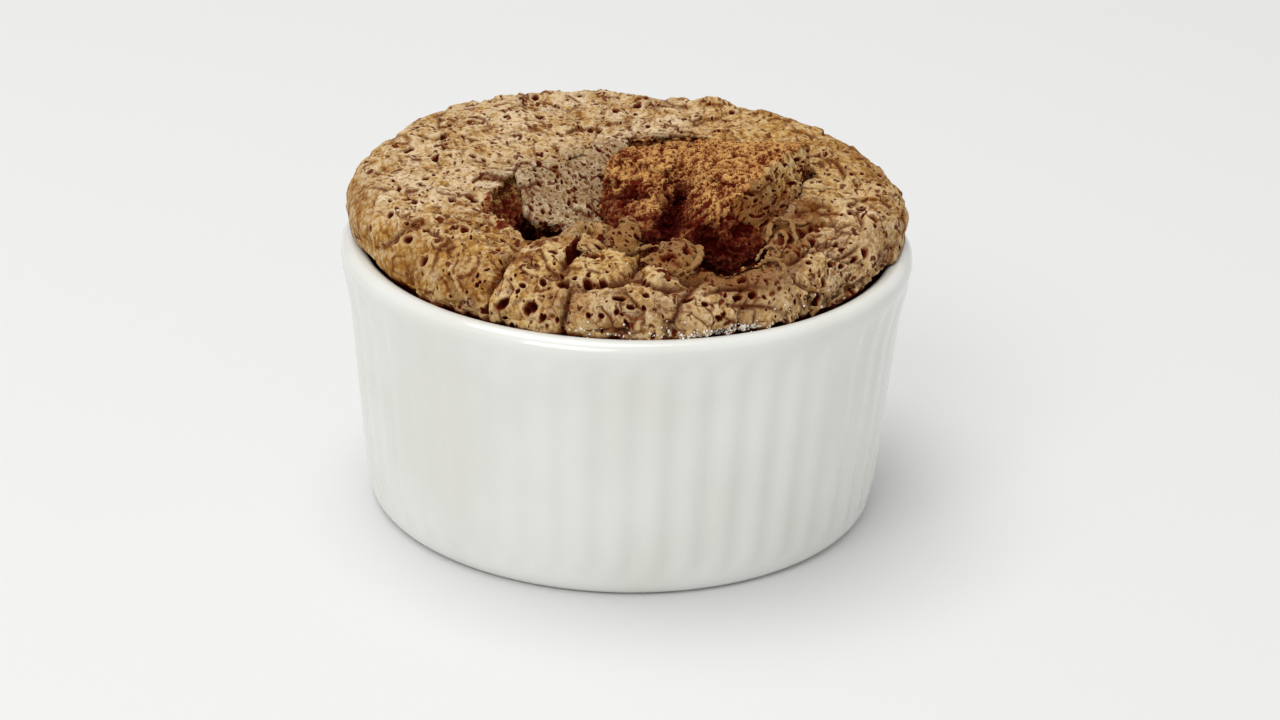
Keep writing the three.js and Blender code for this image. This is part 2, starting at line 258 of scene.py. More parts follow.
def scales(x, y, size, number, steepness, step):
    # cells grown from spread points, each a plane tilted its own way at its own level, so that they meet in
    # ledges. Gives the height, the distance to the border and the height of the ledge there.
    first, second = np.full(x.shape, 1e9), np.full(x.shape, 1e9)
    low, high = np.zeros(x.shape), np.zeros(x.shape)
    for offX, offY, draw in neighbours(x, y, size, [(5, number + k) for k in range(5)], 0.08):
        away = np.hypot(offX, offY)
        turn = draw[0] * fullTurn
        plane = steepness * draw[1] * (offX * np.cos(turn) + offY * np.sin(turn)) + step * (draw[2] - 0.5)
        isFirst, isSecond = away < first, (away >= first) & (away < second)
        high = np.where(isFirst, low, np.where(isSecond, plane, high))
        second = np.where(isFirst, first, np.where(isSecond, away, second))
        low = np.where(isFirst, plane, low)
        first = np.where(isFirst, away, first)
    border = np.minimum((second - first) / 2, size)
    height = mix((low + high) / 2, low, smooth(0, 0.22, border))
    return height, border, abs(low - high)


def chainDistance(x, y, path):
    # distance in plan to a chain of points, its side, how far along it is, and the chain's height there
    nearest, height = np.full(x.shape, 1e9), np.zeros(x.shape)
    side, share = np.zeros(x.shape), np.zeros(x.shape)
    for step, (a, b) in enumerate(zip(path[:-1], path[1:])):
        dx, dy = b[0] - a[0], b[1] - a[1]
        t = clamped(((x - a[0]) * dx + (y - a[1]) * dy) / (dx * dx + dy * dy))
        away = np.hypot(x - a[0] - t * dx, y - a[1] - t * dy)
        closer = away < nearest
        nearest = np.where(closer, away, nearest)
        side = np.where(closer, np.sign(dx * (y - a[1]) - dy * (x - a[0])), side)
        share = np.where(closer, (step + t) / (len(path) - 1), share)
        if len(a) > 2:
            height = np.where(closer, mix(a[2], b[2], t), height)
    return nearest, side, share, height


def ovalDistance(x, y, oval):
    # distance from an oval's middle over its half width or length in that direction
    turn = math.radians(oval[4])
    offX, offY = x - oval[0], y - oval[1]
    along = (offX * math.cos(turn) + offY * math.sin(turn)) / oval[2]
    across = (-offX * math.sin(turn) + offY * math.cos(turn)) / oval[3]
    return np.hypot(along, across)


def raised(points, height):
    # points moved by a height along the unit cross product of the steps along the rows and round the columns,
    # which close on themselves
    down = np.gradient(points, axis=0)
    across = (np.roll(points, -1, axis=1) - np.roll(points, 1, axis=1)) / 2
    normal = np.cross(down, across)
    normal = normal / np.maximum(np.linalg.norm(normal, axis=2, keepdims=True), 1e-9)
    return points + normal * height[..., None]


def evenRows(profile, count, weight):
    # spreads rows evenly along each column's length, with each stretch counted by its weight
    steps = np.linalg.norm(np.diff(profile[..., :3], axis=0), axis=2) * weight[:, None]
    along = np.vstack([np.zeros(profile.shape[1]), np.cumsum(steps, axis=0)])
    along /= along[-1]
    spread = np.linspace(0, 1, count)
    columns = [[np.interp(spread, along[:, c], profile[:, c, k]) for k in range(profile.shape[2])]
               for c in range(profile.shape[1])]
    return np.array(columns).transpose(2, 0, 1)


# meshes: every value that the baked finish reads, and how grids become pieces

valueKeys = ("relief", "pore", "torn", "shade", "line", "froth", "calm", "warm", "deep")


def pointValues(shape, **given):
    # an array over the points for every value of the finish; one that isn't given is 0
    return {key: given.get(key, 0) + np.zeros(shape) for key in valueKeys}


def addPiece(name, points, faces, material, node, values=None):
    # puts points in millimetres and faces into a smooth mesh that rides on the root and stands for a node
    mesh = bpy.data.meshes.new(name)
    mesh.from_pydata(points * mm, [], faces)
    mesh.polygons.foreach_set("use_smooth", np.ones(len(mesh.polygons), bool))
    for key, value in (values or {}).items():
        attribute = mesh.attributes.new(key, "FLOAT", "POINT")
        attribute.data.foreach_set("value", value.astype(np.float32).ravel())
    mesh.update()
    mesh.materials.append(material)
    piece = bpy.data.objects.new(name, mesh)
    scene.collection.objects.link(piece)
    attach(piece, "root")
    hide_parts(node)
    print(f"{name}: {len(mesh.polygons)} faces")
    return piece


def gridFaces(rows, columns, poles):
    # quads of a grid whose columns close on themselves. The points after the grid close its ends: the first
    # pole the first row, and where there are two the second one the last row.
    ring = np.arange(columns)
    after = np.roll(ring, -1)
    start = np.arange(rows - 1)[:, None] * columns
    quads = np.stack([start + ring, start + columns + ring, start + columns + after, start + after], axis=2)
    faces = quads.reshape(-1, 4).tolist()
    pole = np.full(columns, rows * columns)
    faces += np.stack([pole, ring, after], axis=1).tolist()
    if poles > 1:
        last = (rows - 1) * columns
        faces += np.stack([last + ring, pole + 1, last + after], axis=1).tolist()
    return faces


def addBody(name, points, values, pole=None):
    # a baked body whose first row closes in a pole at its mean, and whose open foot is hidden. The pole has
    # the given values, or the first row's mean.
    pole = pole or {}
    everything = np.vstack([points.reshape(-1, 3), points[0].mean(axis=0)])
    values = {key: np.append(value.ravel(), pole.get(key, value[0].mean())) for key, value in values.items()}
    addPiece(name, everything, gridFaces(*points.shape[:2], 1), bakedCrust, "souffle", values)


# finishes

def feed(tree, socket, value):
    # a socket gets a link from another socket, or a plain number, vector or colour
    if isinstance(value, bpy.types.NodeSocket):
        tree.links.new(value, socket)
    elif value is not None:
        socket.default_value = value


def addNode(tree, kind, inputs, **settings):
    # one node of a kind, with its settings and what feeds its inputs, each by its name or number
    node = tree.nodes.new("ShaderNode" + kind)
    for key, value in settings.items():
        setattr(node, key, value)
    for key, value in inputs.items():
        feed(tree, node.inputs[key], value)
    return node


def newGroup(name, inputs, outputs):
    # a shader node group: an input is a number and its default, or a vector where that is None, and an output
    # called Color is a colour. Gives the group, what comes into it and what it puts out.
    group = bpy.data.node_groups.new(name, "ShaderNodeTree")
    for key, value in inputs.items():
        kind = "NodeSocketVector" if value is None else "NodeSocketFloat"
        socket = group.interface.new_socket(key, in_out="INPUT", socket_type=kind)
        if value is not None:
            socket.default_value = value
    for key in outputs:
        kind = "NodeSocketColor" if key == "Color" else "NodeSocketFloat"
        group.interface.new_socket(key, in_out="OUTPUT", socket_type=kind)
    return group, group.nodes.new("NodeGroupInput").outputs, group.nodes.new("NodeGroupOutput").inputs


def maths(tree, operation, a, b=None, c=None):
    # one Math node
    return addNode(tree, "Math", {0: a, 1: b, 2: c}, operation=operation).outputs[0]


def times(tree, first, *others):
    # numbers and sockets multiplied in turn
    for other in others:
        first = maths(tree, "MULTIPLY", first, other)
    return first


def plus(tree, start, *parts):
    # a start, with each socket added as often as its amount says
    for value, amount in parts:
        start = maths(tree, "MULTIPLY_ADD", value, amount, start)
    return start


def vectorMaths(tree, operation, a, b):
    # one Vector Math node; for SCALE b is the number it scales by
    second = "Scale" if operation == "SCALE" else 1
    return addNode(tree, "VectorMath", {0: a, second: b}, operation=operation).outputs[0]


def remap(tree, value, low, high, toLow=0.0, toHigh=1.0):
    # smooth map of a range onto another, clamped
    inputs = {"Value": value, "From Min": low, "From Max": high, "To Min": toLow, "To Max": toHigh}
    return addNode(tree, "MapRange", inputs, interpolation_type="SMOOTHSTEP").outputs["Result"]


def mixColour(tree, share, a, b):
    # one Mix node for colours
    return addNode(tree, "Mix", {0: share, 6: a, 7: b}, data_type="RGBA").outputs[2]


def noiseNode(tree, vector, scale, detail, roughness=0.5, distortion=0.0):
    # Noise Texture whose lumps are one over the scale, in metres
    inputs = {"Vector": vector, "Scale": scale, "Detail": detail, "Roughness": roughness,
              "Distortion": distortion}
    return addNode(tree, "TexNoise", inputs).outputs


def coats(tree, base, value, cfg, key):
    # colours laid over a base in turn, each as thick as its own smooth map of one value
    for name, span in cfg[key]:
        base = mixColour(tree, remap(tree, value, *span), base, cfg[name])
    return base


def colour(red, green, blue):
    # screen values 0 to 255 as linear light, which the shader uses
    light = [((v / 255 + 0.055) / 1.055) ** 2.4 if v > 10 else v / 255 / 12.92 for v in (red, green, blue)]
    return (*light, 1)


# Coats name a colour and the map of its thickness: the value's low and high end, and the thickness there, 0
# and 1 where it isn't given. Sizes are in millimetres.
skinSet = {
    "pale": colour(216, 186, 140),
    "golden": colour(178, 133, 67),
    "brown": colour(126, 76, 28),
    "grey": colour(122, 96, 66),
    # pale froth colour, also laid on grain, foam walls and crinkle lines as painted glints and highlights
    "froth": colour(230, 206, 170),
    "rim": colour(136, 72, 26),
    "pore": colour(90, 20, 4),
    "poreFloor": colour(42, 4, 1),
    # crease colour: painted shade in creases, along ledges and in the gap at the rim
    "creaseShade": colour(100, 40, 10),
    "warmth": (0.98, 0.92, 0.72),    # what the warm value multiplies the colour by
    "grainSize": 0.4,
    "mottleSize": 3.2,
    "foamSize": 1.15,
    # the relief's share of the tone makes raised places paler and sunk ones darker: painted highlight and
    # painted shade
    "tone": {"start": 0.17, "grain": 0.14, "mottle": 0.38, "speckle": 0.2,
             "relief": (-0.6, 0.6, -0.68, 0.68)},
    "toneCoats": [("golden", (0.1, 0.52)), ("pale", (0.54, 1.0))],
    "shadeCoats": [("grey", (0.5, 1.0, 0.0, 0.75)), ("brown", (0.0, 0.5, 0.92, 0.0))],
    # line coats: painted shade along the dark lines, nearly pore-dark where they are strongest
    "lineCoats": [("creaseShade", (0.25, 1.0, 0.0, 0.75)), ("pore", (0.8, 1.0, 0.0, 0.55))],
    # pore coats: a brown rim, the pore colour, near black at the floor; darker crumb inside, deepened by
    # painted shade
    "poreCoats": [("rim", (0.98, 1.3, 0.6, 0.0)), ("pore", (0.78, 1.02, 1.0, 0.0)),
                  ("poreFloor", (0.35, 0.8, 1.0, 0.0))],
    "warmDull": -0.5,                           # how much the warm value takes off froth and pale walls
    "frothByGrain": (0.2, 0.8, 0.3, 0.8),
    # foam cells: shallow ones browner and open ones pore-dark, as painted shade; their walls paler, as
    # painted highlight
    "shallowCells": (0.3, 0.75, 0.0, 0.5),      # foam cells that are only browner
    "openCells": (0.8, 0.9),                    # and those that are open
    "openShare": 0.9,
    "wallHighlightByFroth": (0.0, 1.0, 0.2, 0.7),
    "brightByShade": (0.0, 0.5, 0.3, 1.0),
    "crinkleShare": 0.7,
    "rough": (0.5, 0.25),                       # roughness and what grain adds to it
    "bump": {"grain": 0.25, "wall": 0.3, "crinkle": 0.35, "pit": -0.7},
    "reliefStep": 0.3, "reliefStrength": 0.8, "specular": 0.05,
}

crumbSet = {
    "lit": colour(224, 172, 104),
    "middle": colour(156, 84, 32),
    # dark: the darkest crumb, also laid on as painted shade in bubbles and pits; deep: painted shade far down
    "dark": colour(96, 14, 5),
    "deep": colour(68, 6, 1),
    "grainSize": 0.3,
    "mottleSize": 1.6,
    "foamSize": 0.75,
    # here too the relief makes raised crumb paler and its hollows darker: painted highlight and painted shade
    "tone": {"grain": 0.45, "mottle": 0.18, "speckle": 0.3, "relief": (-1.3, 0.7, -0.35, 0.4)},
    "toneCoats": [("middle", (-0.05, 0.45)), ("lit", (0.35, 0.95))],
    "poreCoats": [("dark", (0.42, 0.85, 0.9, 0.0))],
    # depth coats: painted shade by the deep value, darker down to near black
    "depthCoats": [("dark", (0.05, 0.65, 0.0, 0.85)), ("deep", (0.6, 1.0))],
    "depthShift": 0.14, "depthByTone": -0.4,    # lit walls look less deep than the hollows between them
    # pits in foam cells darkened as painted shade, their walls lightened as painted highlight
    "pitCells": (0.45, 0.8, 0.0, 0.85),
    "wallShare": 0.4,
    "rough": (0.85, -0.2),                      # roughness and what mottling adds to it
    "bump": {"grain": 0.4, "wall": 0.3, "pit": -0.7},
}

grainSet = {
    "detail": 3.0, "roughness": 0.6, "spread": (0.32, 0.68),
    "speckle": 3.0,     # that much larger than the grain
    # crinkle lines: how much finer than the mottling, detail, bend, half width from full to none, breaks
    "crinkle": 1.9, "crinkleDetail": 2.5, "crinkleBend": 0.5, "crinkleWidth": (0.008, 0.04, 1.0, 0.0),
    "crinkleBreak": (0.4, 0.6),
}

# foam cells: stretch of the position, scale, detail and reach of the noise that bends it, wall and hollow
foamSet = {"stretch": (1.0, 0.72, 1.0), "bendScale": 0.8, "bendDetail": 2.0, "bend": 1.5,
           "wall": (0.03, 0.17, 1.0, 0.0), "hollow": (0.08, 0.26)}


def grainGroup(cfg):
    # fine grain, larger speckle and slow mottling, from noise on a position, each from 0 to 1. Crinkle is 1
    # on the lines where another noise crosses its middle value, broken up by the mottling.
    tree, source, result = newGroup("grain", {"Position": None, "Grain Scale": 2000.0, "Mottle Scale": 300.0},
                                    ["Grain", "Speckle", "Mottle", "Crinkle"])
    place, fine, slow = source["Position"], source["Grain Scale"], source["Mottle Scale"]
    noise = {}
    large = maths(tree, "DIVIDE", fine, cfg["speckle"])
    for key, scale in (("Grain", fine), ("Speckle", large), ("Mottle", slow)):
        noise[key] = noiseNode(tree, place, scale, cfg["detail"], cfg["roughness"])["Fac"]
        feed(tree, result[key], remap(tree, noise[key], *cfg["spread"]))
    broken = remap(tree, noise["Mottle"], *cfg["crinkleBreak"])
    lines = noiseNode(tree, place, times(tree, slow, cfg["crinkle"]), cfg["crinkleDetail"],
                      distortion=cfg["crinkleBend"])["Fac"]
    fromMiddle = maths(tree, "ABSOLUTE", maths(tree, "SUBTRACT", lines, 0.5))
    feed(tree, result["Crinkle"], times(tree, remap(tree, fromMiddle, *cfg["crinkleWidth"]), broken))
    return tree


def foamGroup(cfg):
    # foam cells round spread points, on a position bent by noise and drawn out along Y. Wall is 1 on the
    # walls between cells, Hollow is 1 inside a cell, and Cell is a number from 0 to 1 that each cell keeps.
    tree, source, result = newGroup("foam", {"Position": None, "Scale": 900.0}, ["Wall", "Hollow", "Cell"])
    scale = source["Scale"]
    stretched = vectorMaths(tree, "MULTIPLY", source["Position"], cfg["stretch"])
    bend = noiseNode(tree, stretched, times(tree, scale, cfg["bendScale"]), cfg["bendDetail"])["Color"]
    shift = vectorMaths(tree, "SUBTRACT", bend, (0.5, 0.5, 0.5))
    shift = vectorMaths(tree, "SCALE", shift, maths(tree, "DIVIDE", cfg["bend"], scale))
    bent = vectorMaths(tree, "ADD", stretched, shift)
    cells, edges = (addNode(tree, "TexVoronoi", {"Vector": bent, "Scale": scale}, feature=feature).outputs
                    for feature in ("F1", "DISTANCE_TO_EDGE"))
    feed(tree, result["Wall"], remap(tree, edges["Distance"], *cfg["wall"]))
    feed(tree, result["Hollow"], remap(tree, edges["Distance"], *cfg["hollow"]))
    feed(tree, result["Cell"], addNode(tree, "SeparateColor", {"Color": cells["Color"]}).outputs["Red"])
    return tree


def skinGroup(cfg):
    # baked crust: mottled from brown to golden to pale, with grey, froth, painted shade in creases, and dark
    # pores
    tree, source, result = newGroup("bakedSkin", {
        "Grain": 0.5, "Speckle": 0.5, "Mottle": 0.5, "Pore": 2.0, "Relief": 0.0, "Shade": 0.5, "Line": 0.0,
        "Froth": 0.0, "Wall": 0.0, "Hollow": 0.0, "Cell": 0.0, "Calm": 0.0, "Crinkle": 0.0, "Warm": 0.0,
    }, ["Color", "Roughness", "Height"])
    grain, froth, cell, recipe = source["Grain"], source["Froth"], source["Cell"], cfg["tone"]
    tone = plus(tree, recipe["start"], (grain, recipe["grain"]), (source["Mottle"], recipe["mottle"]),
                (source["Speckle"], recipe["speckle"]))
    tone = maths(tree, "ADD", tone, remap(tree, source["Relief"], *recipe["relief"]))
    base = coats(tree, cfg["brown"], tone, cfg, "toneCoats")
    base = coats(tree, base, source["Shade"], cfg, "shadeCoats")
    base = mixColour(tree, source["Warm"], base, vectorMaths(tree, "MULTIPLY", base, cfg["warmth"]))
    dulled = plus(tree, 1.0, (source["Warm"], cfg["warmDull"]))
    lively = maths(tree, "SUBTRACT", 1.0, source["Calm"])
    hollow, wall = times(tree, source["Hollow"], lively), times(tree, source["Wall"], lively)
    opened = times(tree, hollow, remap(tree, cell, *cfg["openCells"]))
    bright = times(tree, remap(tree, source["Shade"], *cfg["brightByShade"]), dulled)
    # froth with painted glints, painted shade in foam hollows, painted highlight on foam walls and on the
    # thin crinkle rims
    for share, key in (
            (times(tree, froth, remap(tree, grain, *cfg["frothByGrain"]), dulled), "froth"),
            (times(tree, hollow, remap(tree, cell, *cfg["shallowCells"])), "brown"),
            (times(tree, wall, remap(tree, froth, *cfg["wallHighlightByFroth"]), bright), "froth"),
            (times(tree, source["Crinkle"], times(tree, bright, cfg["crinkleShare"])), "froth"),
            (times(tree, opened, cfg["openShare"]), "pore")):
        base = mixColour(tree, share, base, cfg[key])
    base = coats(tree, base, source["Line"], cfg, "lineCoats")
    feed(tree, result["Color"], coats(tree, base, source["Pore"], cfg, "poreCoats"))
    feed(tree, result["Roughness"], plus(tree, cfg["rough"][0], (grain, cfg["rough"][1])))
    bump = cfg["bump"]
    feed(tree, result["Height"], plus(tree, times(tree, grain, bump["grain"]), (wall, bump["wall"]),
                                      (source["Crinkle"], bump["crinkle"]), (opened, bump["pit"])))
    return tree


def crumbGroup(cfg):
    # torn crumb: golden, painted highlight on its walls, painted shade dark in bubbles and nearly black deep
    # down
    tree, source, result = newGroup("tornCrumb", {
        "Grain": 0.5, "Speckle": 0.5, "Mottle": 0.5, "Relief": 0.0, "Pore": 2.0, "Deep": 0.0, "Wall": 0.0,
        "Hollow": 0.0, "Cell": 0.0,
    }, ["Color", "Roughness", "Height"])
    grain, mottle, wall, recipe = source["Grain"], source["Mottle"], source["Wall"], cfg["tone"]
    tone = plus(tree, times(tree, grain, recipe["grain"]), (mottle, recipe["mottle"]),
                (source["Speckle"], recipe["speckle"]))
    tone = maths(tree, "ADD", tone, remap(tree, source["Relief"], *recipe["relief"]))
    base = coats(tree, cfg["dark"], tone, cfg, "toneCoats")
    pit = times(tree, source["Hollow"], remap(tree, source["Cell"], *cfg["pitCells"]))
    base = mixColour(tree, pit, base, cfg["dark"])
    base = mixColour(tree, times(tree, wall, cfg["wallShare"]), base, cfg["lit"])
    base = coats(tree, base, source["Pore"], cfg, "poreCoats")
    depth = plus(tree, maths(tree, "ADD", source["Deep"], cfg["depthShift"]), (tone, cfg["depthByTone"]))
    feed(tree, result["Color"], coats(tree, base, depth, cfg, "depthCoats"))
    feed(tree, result["Roughness"], plus(tree, cfg["rough"][0], (mottle, cfg["rough"][1])))
    bump = cfg["bump"]
    feed(tree, result["Height"], plus(tree, times(tree, grain, bump["grain"]), (wall, bump["wall"]),
                                      (pit, bump["pit"])))
    return tree


def newMaterial(name):
    # an empty finish: the material, its node tree, its shader's inputs and the place on the piece
    material = bpy.data.materials.new(name)
    material.use_nodes = True
    tree = material.node_tree
    place = tree.nodes.new("ShaderNodeTexCoord").outputs["Object"]
    return material, tree, tree.nodes["Principled BSDF"].inputs, place


def placeGroup(tree, group, *sources):
    # a node group in a material; every input that a source has by the same name is fed from there
    node = tree.nodes.new("ShaderNodeGroup")
    node.node_tree = group
    for source in sources:
        for key, value in source.items():
            if key in node.inputs:
                feed(tree, node.inputs[key], value)
    return node.outputs


def addBump(tree, height, shader, step, strength):
    # tilts the shader's normal by the slope of a height, whose 1 is the step in millimetres
    bump = addNode(tree, "Bump", {"Distance": step * mm, "Strength": strength, "Height": height})
    feed(tree, shader["Normal"], bump.outputs["Normal"])


def souffleMaterial(name, grain, foam, skin, crumb):
    # crust and crumb in one finish, changed over by the torn value on the mesh
    material, tree, shader, place = newMaterial(name)
    stored = {key.capitalize(): addNode(tree, "Attribute", {}, attribute_name=key).outputs["Fac"]
              for key in valueKeys}
    looks = []
    for group, cfg in ((skin, skinSet), (crumb, crumbSet)):
        perMetre = {key: 1 / (cfg[key] * mm) for key in ("grainSize", "mottleSize", "foamSize")}
        grains = placeGroup(tree, grain, {"Position": place, "Grain Scale": perMetre["grainSize"],
                                          "Mottle Scale": perMetre["mottleSize"]})
        cells = placeGroup(tree, foam, {"Position": place, "Scale": perMetre["foamSize"]})
        looks.append(placeGroup(tree, group, grains, cells, stored))
    crust, inside = looks
    change = remap(tree, stored["Torn"], 0.4, 0.6)
    feed(tree, shader["Base Color"], mixColour(tree, change, crust["Color"], inside["Color"]))
    rough, height = (addNode(tree, "Mix", {0: change, 2: crust[key], 3: inside[key]}).outputs[0]
                     for key in ("Roughness", "Height"))
    feed(tree, shader["Roughness"], rough)
    addBump(tree, height, shader, skinSet["reliefStep"], skinSet["reliefStrength"])
    shader["Specular IOR Level"].default_value = skinSet["specular"]
    return material


# noises are given as size in millimetres, detail and the map of their value
porcelainSet = {
    "white": colour(231, 232, 227), "warmer": colour(225, 225, 218), "patches": (22, 2.0, (0.35, 0.7)),
    "rough": (9, 3.0, (0.3, 0.75, 0.1, 0.2)), "coat": 0.3, "coatRoughness": 0.06,
    "waves": (5, 1.0), "waveStep": 0.12, "waveStrength": 0.35,
}
sugarFinish = {
    "clear": colour(250, 248, 242), "amber": colour(226, 216, 200), "tint": (0.8, 2.0, (0.3, 0.7)),
    "roughness": 0.3, "glow": 0.2, "glowDepth": (0.0005, 0.0004, 0.0003),
}


def patchy(tree, place, size, detail, span=None):
    # noise with lumps of a size in millimetres, mapped where a span is given
    noise = noiseNode(tree, place, 1 / (size * mm), detail)["Fac"]
    return remap(tree, noise, *span) if span else noise


def porcelainMaterial(cfg):
    # white glaze: a little warmer in patches, glossy, with the faint waviness of a fired surface
    material, tree, shader, place = newMaterial("porcelainGlaze")
    patches = patchy(tree, place, *cfg["patches"])
    feed(tree, shader["Base Color"], mixColour(tree, patches, cfg["white"], cfg["warmer"]))
    feed(tree, shader["Roughness"], patchy(tree, place, *cfg["rough"]))
    shader["Coat Weight"].default_value = cfg["coat"]
    shader["Coat Roughness"].default_value = cfg["coatRoughness"]
    addBump(tree, patchy(tree, place, *cfg["waves"]), shader, cfg["waveStep"], cfg["waveStrength"])
    return material


def sugarMaterial(cfg):
    # clear to amber grains, mixed by a noise of their own size, that let a little light through
    material, tree, shader, place = newMaterial("sugarGrain")
    tint = patchy(tree, place, *cfg["tint"])
    feed(tree, shader["Base Color"], mixColour(tree, tint, cfg["clear"], cfg["amber"]))
    shader["Roughness"].default_value = cfg["roughness"]
    shader["Subsurface Weight"].default_value = cfg["glow"]
    shader["Subsurface Radius"].default_value = cfg["glowDepth"]
    return material


bakedCrust = souffleMaterial("bakedCrust", grainGroup(grainSet), foamGroup(foamSet), skinGroup(skinSet),
                             crumbGroup(crumbSet))
porcelain = porcelainMaterial(porcelainSet)
sugar = sugarMaterial(sugarFinish)
print("finishes made")


# ramekin

ramekinSet = {
    "rimRadius": 47.5, "rimHeight": 46, "rollRadius": 2.2,
    "kinkRadius": 45.7, "kinkHeight": 34.6, "kinkWall": 3.9,
    "baseRadius": 42.8, "baseRounding": 2.7,
    "fluteCount": 48, "fluteDepth": 0.44, "fluteBottom": 3.6, "fluteTop": 41.6, "fluteFade": 1.8,
    "footWidth": 3.6, "footEdge": (0.3, 0.25), "recessDepth": 1.2, "recessSlope": 0.9,
    "floorThickness": 4, "cornerRadius": 6, "cornerInset": 4.4,
    "columns": 768, "rows": 118, "poleGap": 0.6,
    "insideShare": 0.35,    # how closely the rows lie on the inside, which hardly shows
    "insideFrom": 8,        # steps past the roll where that begins
}


def outsideRadius(height, cfg):
    # straight cone up to the kink, then a wider flare up to the roll of the rim
    base, kink = cfg["baseRounding"], cfg["kinkHeight"]
    rollHeight = cfg["rimHeight"] - cfg["rollRadius"]
    lower = mix(cfg["baseRadius"], cfg["kinkRadius"], (height - base) / (kink - base))
    upper = mix(cfg["kinkRadius"], cfg["rimRadius"], (height - kink) / (rollHeight - kink))
    return np.where(height < kink, lower, upper)


def insideRadius(height, cfg):
    # inside of the wall, from the corner at the floor to the roll
    corner = cfg["recessDepth"] + cfg["floorThickness"] + cfg["cornerRadius"]
    rollHeight = cfg["rimHeight"] - cfg["rollRadius"]
    cornerWall = outsideRadius(np.array(corner), cfg) - cfg["cornerInset"]
    kinkWall = cfg["kinkRadius"] - cfg["kinkWall"]
    rollInner = cfg["rimRadius"] - 2 * cfg["rollRadius"]
    lower = mix(cornerWall, kinkWall, (height - corner) / (cfg["kinkHeight"] - corner))
    upper = mix(kinkWall, rollInner, (height - cfg["kinkHeight"]) / (rollHeight - cfg["kinkHeight"]))
    return np.where(height < cfg["kinkHeight"], lower, upper)


def arc(centreRadius, centreHeight, radius, fromAngle, toAngle, steps):
    # points of an arc in the profile plane, radius first
    turn = np.radians(np.linspace(fromAngle, toAngle, steps + 1))
    return np.stack([centreRadius + radius * np.cos(turn), centreHeight + radius * np.sin(turn)], axis=1)


def addRamekin(cfg):
    # a profile turned round +Z; on the fluted height a cosine of the angle is added to the outside radius
    footInside = cfg["baseRadius"] - cfg["baseRounding"] - cfg["footWidth"]
    rollCentre, rollHeight = cfg["rimRadius"] - cfg["rollRadius"], cfg["rimHeight"] - cfg["rollRadius"]
    floor = cfg["recessDepth"] + cfg["floorThickness"]
    corner = floor + cfg["cornerRadius"]
    wallUp = np.linspace(cfg["baseRounding"], rollHeight, 120)[1:-1]
    wallDown = np.linspace(rollHeight, corner, 60)[1:-1]
    cornerCentre = float(insideRadius(np.array(corner), cfg)) - cfg["cornerRadius"]
    edgeWidth, edgeHeight = cfg["footEdge"]
    underside = [[cfg["poleGap"], cfg["recessDepth"]], [footInside - cfg["recessSlope"], cfg["recessDepth"]],
                 [footInside, edgeHeight], [footInside + edgeWidth, 0]]
    foot = arc(cfg["baseRadius"] - cfg["baseRounding"], cfg["baseRounding"], cfg["baseRounding"], -90, 0, 10)
    wall = np.stack([outsideRadius(wallUp, cfg), wallUp], axis=1)
    roll = arc(rollCentre, rollHeight, cfg["rollRadius"], 0, 180, 24)
    inside = np.stack([insideRadius(wallDown, cfg), wallDown], axis=1)
    rounding = arc(cornerCentre, corner, cfg["cornerRadius"], 0, -90, 12)
    profile = np.vstack([underside, foot, wall, roll, inside, rounding, [[cfg["poleGap"], floor]]])
    wallStart = len(underside) + len(foot)
    wallEnd = wallStart + len(wall)

    angle = np.linspace(0, fullTurn, cfg["columns"], endpoint=False)
    radius, height = profile[:, 0][:, None], profile[:, 1][:, None]
    onWall = np.zeros((len(profile), 1))
    onWall[wallStart:wallEnd] = 1
    top, half = cfg["fluteTop"], cfg["fluteFade"] / 2
    fade = smooth(cfg["fluteBottom"], cfg["fluteBottom"] + cfg["fluteFade"], height)
    fade = fade * (1 - smooth(top - half, top + half, height))
    radius = radius + cfg["fluteDepth"] / 2 * np.cos(cfg["fluteCount"] * angle)[None, :] * fade * onWall
    points = np.stack([radius * np.cos(angle), radius * np.sin(angle), height + 0 * radius], axis=2)
    weight = np.ones(len(profile) - 1)
    weight[wallEnd + len(roll) + cfg["insideFrom"]:] = cfg["insideShare"]
    points = evenRows(points, cfg["rows"], weight)
    everything = np.vstack([points.reshape(-1, 3), [[0, 0, cfg["recessDepth"]], [0, 0, floor]]])
    faces = [face[::-1] for face in gridFaces(*points.shape[:2], 2)]
    addPiece("ramekin_glazed", everything, faces, porcelain, "ramekin")


addRamekin(ramekinSet)


# souffle: forms shared by its pieces

formSet = {
    "bulgeRadius": 47.2, "rightBulgeRadius": 46.4, "bulgeHeight": 49.6,
    "frontEdgeRadius": 43.2, "frontEdgeHeight": 46.6,
    "outHalfAngle": 76, "outFade": 36,      # degrees from the front where the crust comes out over the rim
    "upHalfAngle": 66, "upFade": 26,        # and where its widest line comes up
    "shoulder": 5.4, "frontShoulder": 8.5,
    "crustHeight": 55, "tilt": (-0.012, 0.024), "cornerRise": 1.2, "edgeDrop": 0.6,
    "lump": 0.45, "unroll": 0.57,
    "dents": [(0.35, 11, 1), (0.25, 23, 0)],
    "tear": [(-18.6, 4.2), (-21.8, -4), (-22.4, -12.5), (-18.8, -21.2), (-15.8, -23.5), (-8.4, -22.8),
             (-1.6, -20.2), (3.2, -24.0), (4.6, -28.4), (9.9, -31.2), (16.6, -33.4), (21.9, -28.9),
             (24.4, -17.2), (27.2, -3.9), (31.5, 6.5), (28.6, 15), (19.2, 20.6), (7.8, 22), (-1.6, 19.2)],
    "tearRagged": 0.9, "tearNoise": (2.6, 71, 3, 0.6),
    "hinge": [(-18, 4), (-1.2, 18.6)],
    "hingeFade": ((-0.02, 0.06), (-0.10, -0.02)),   # radians round its ends over which the crust tears off
    "dip": 15,
    "bend": 1.6,
}


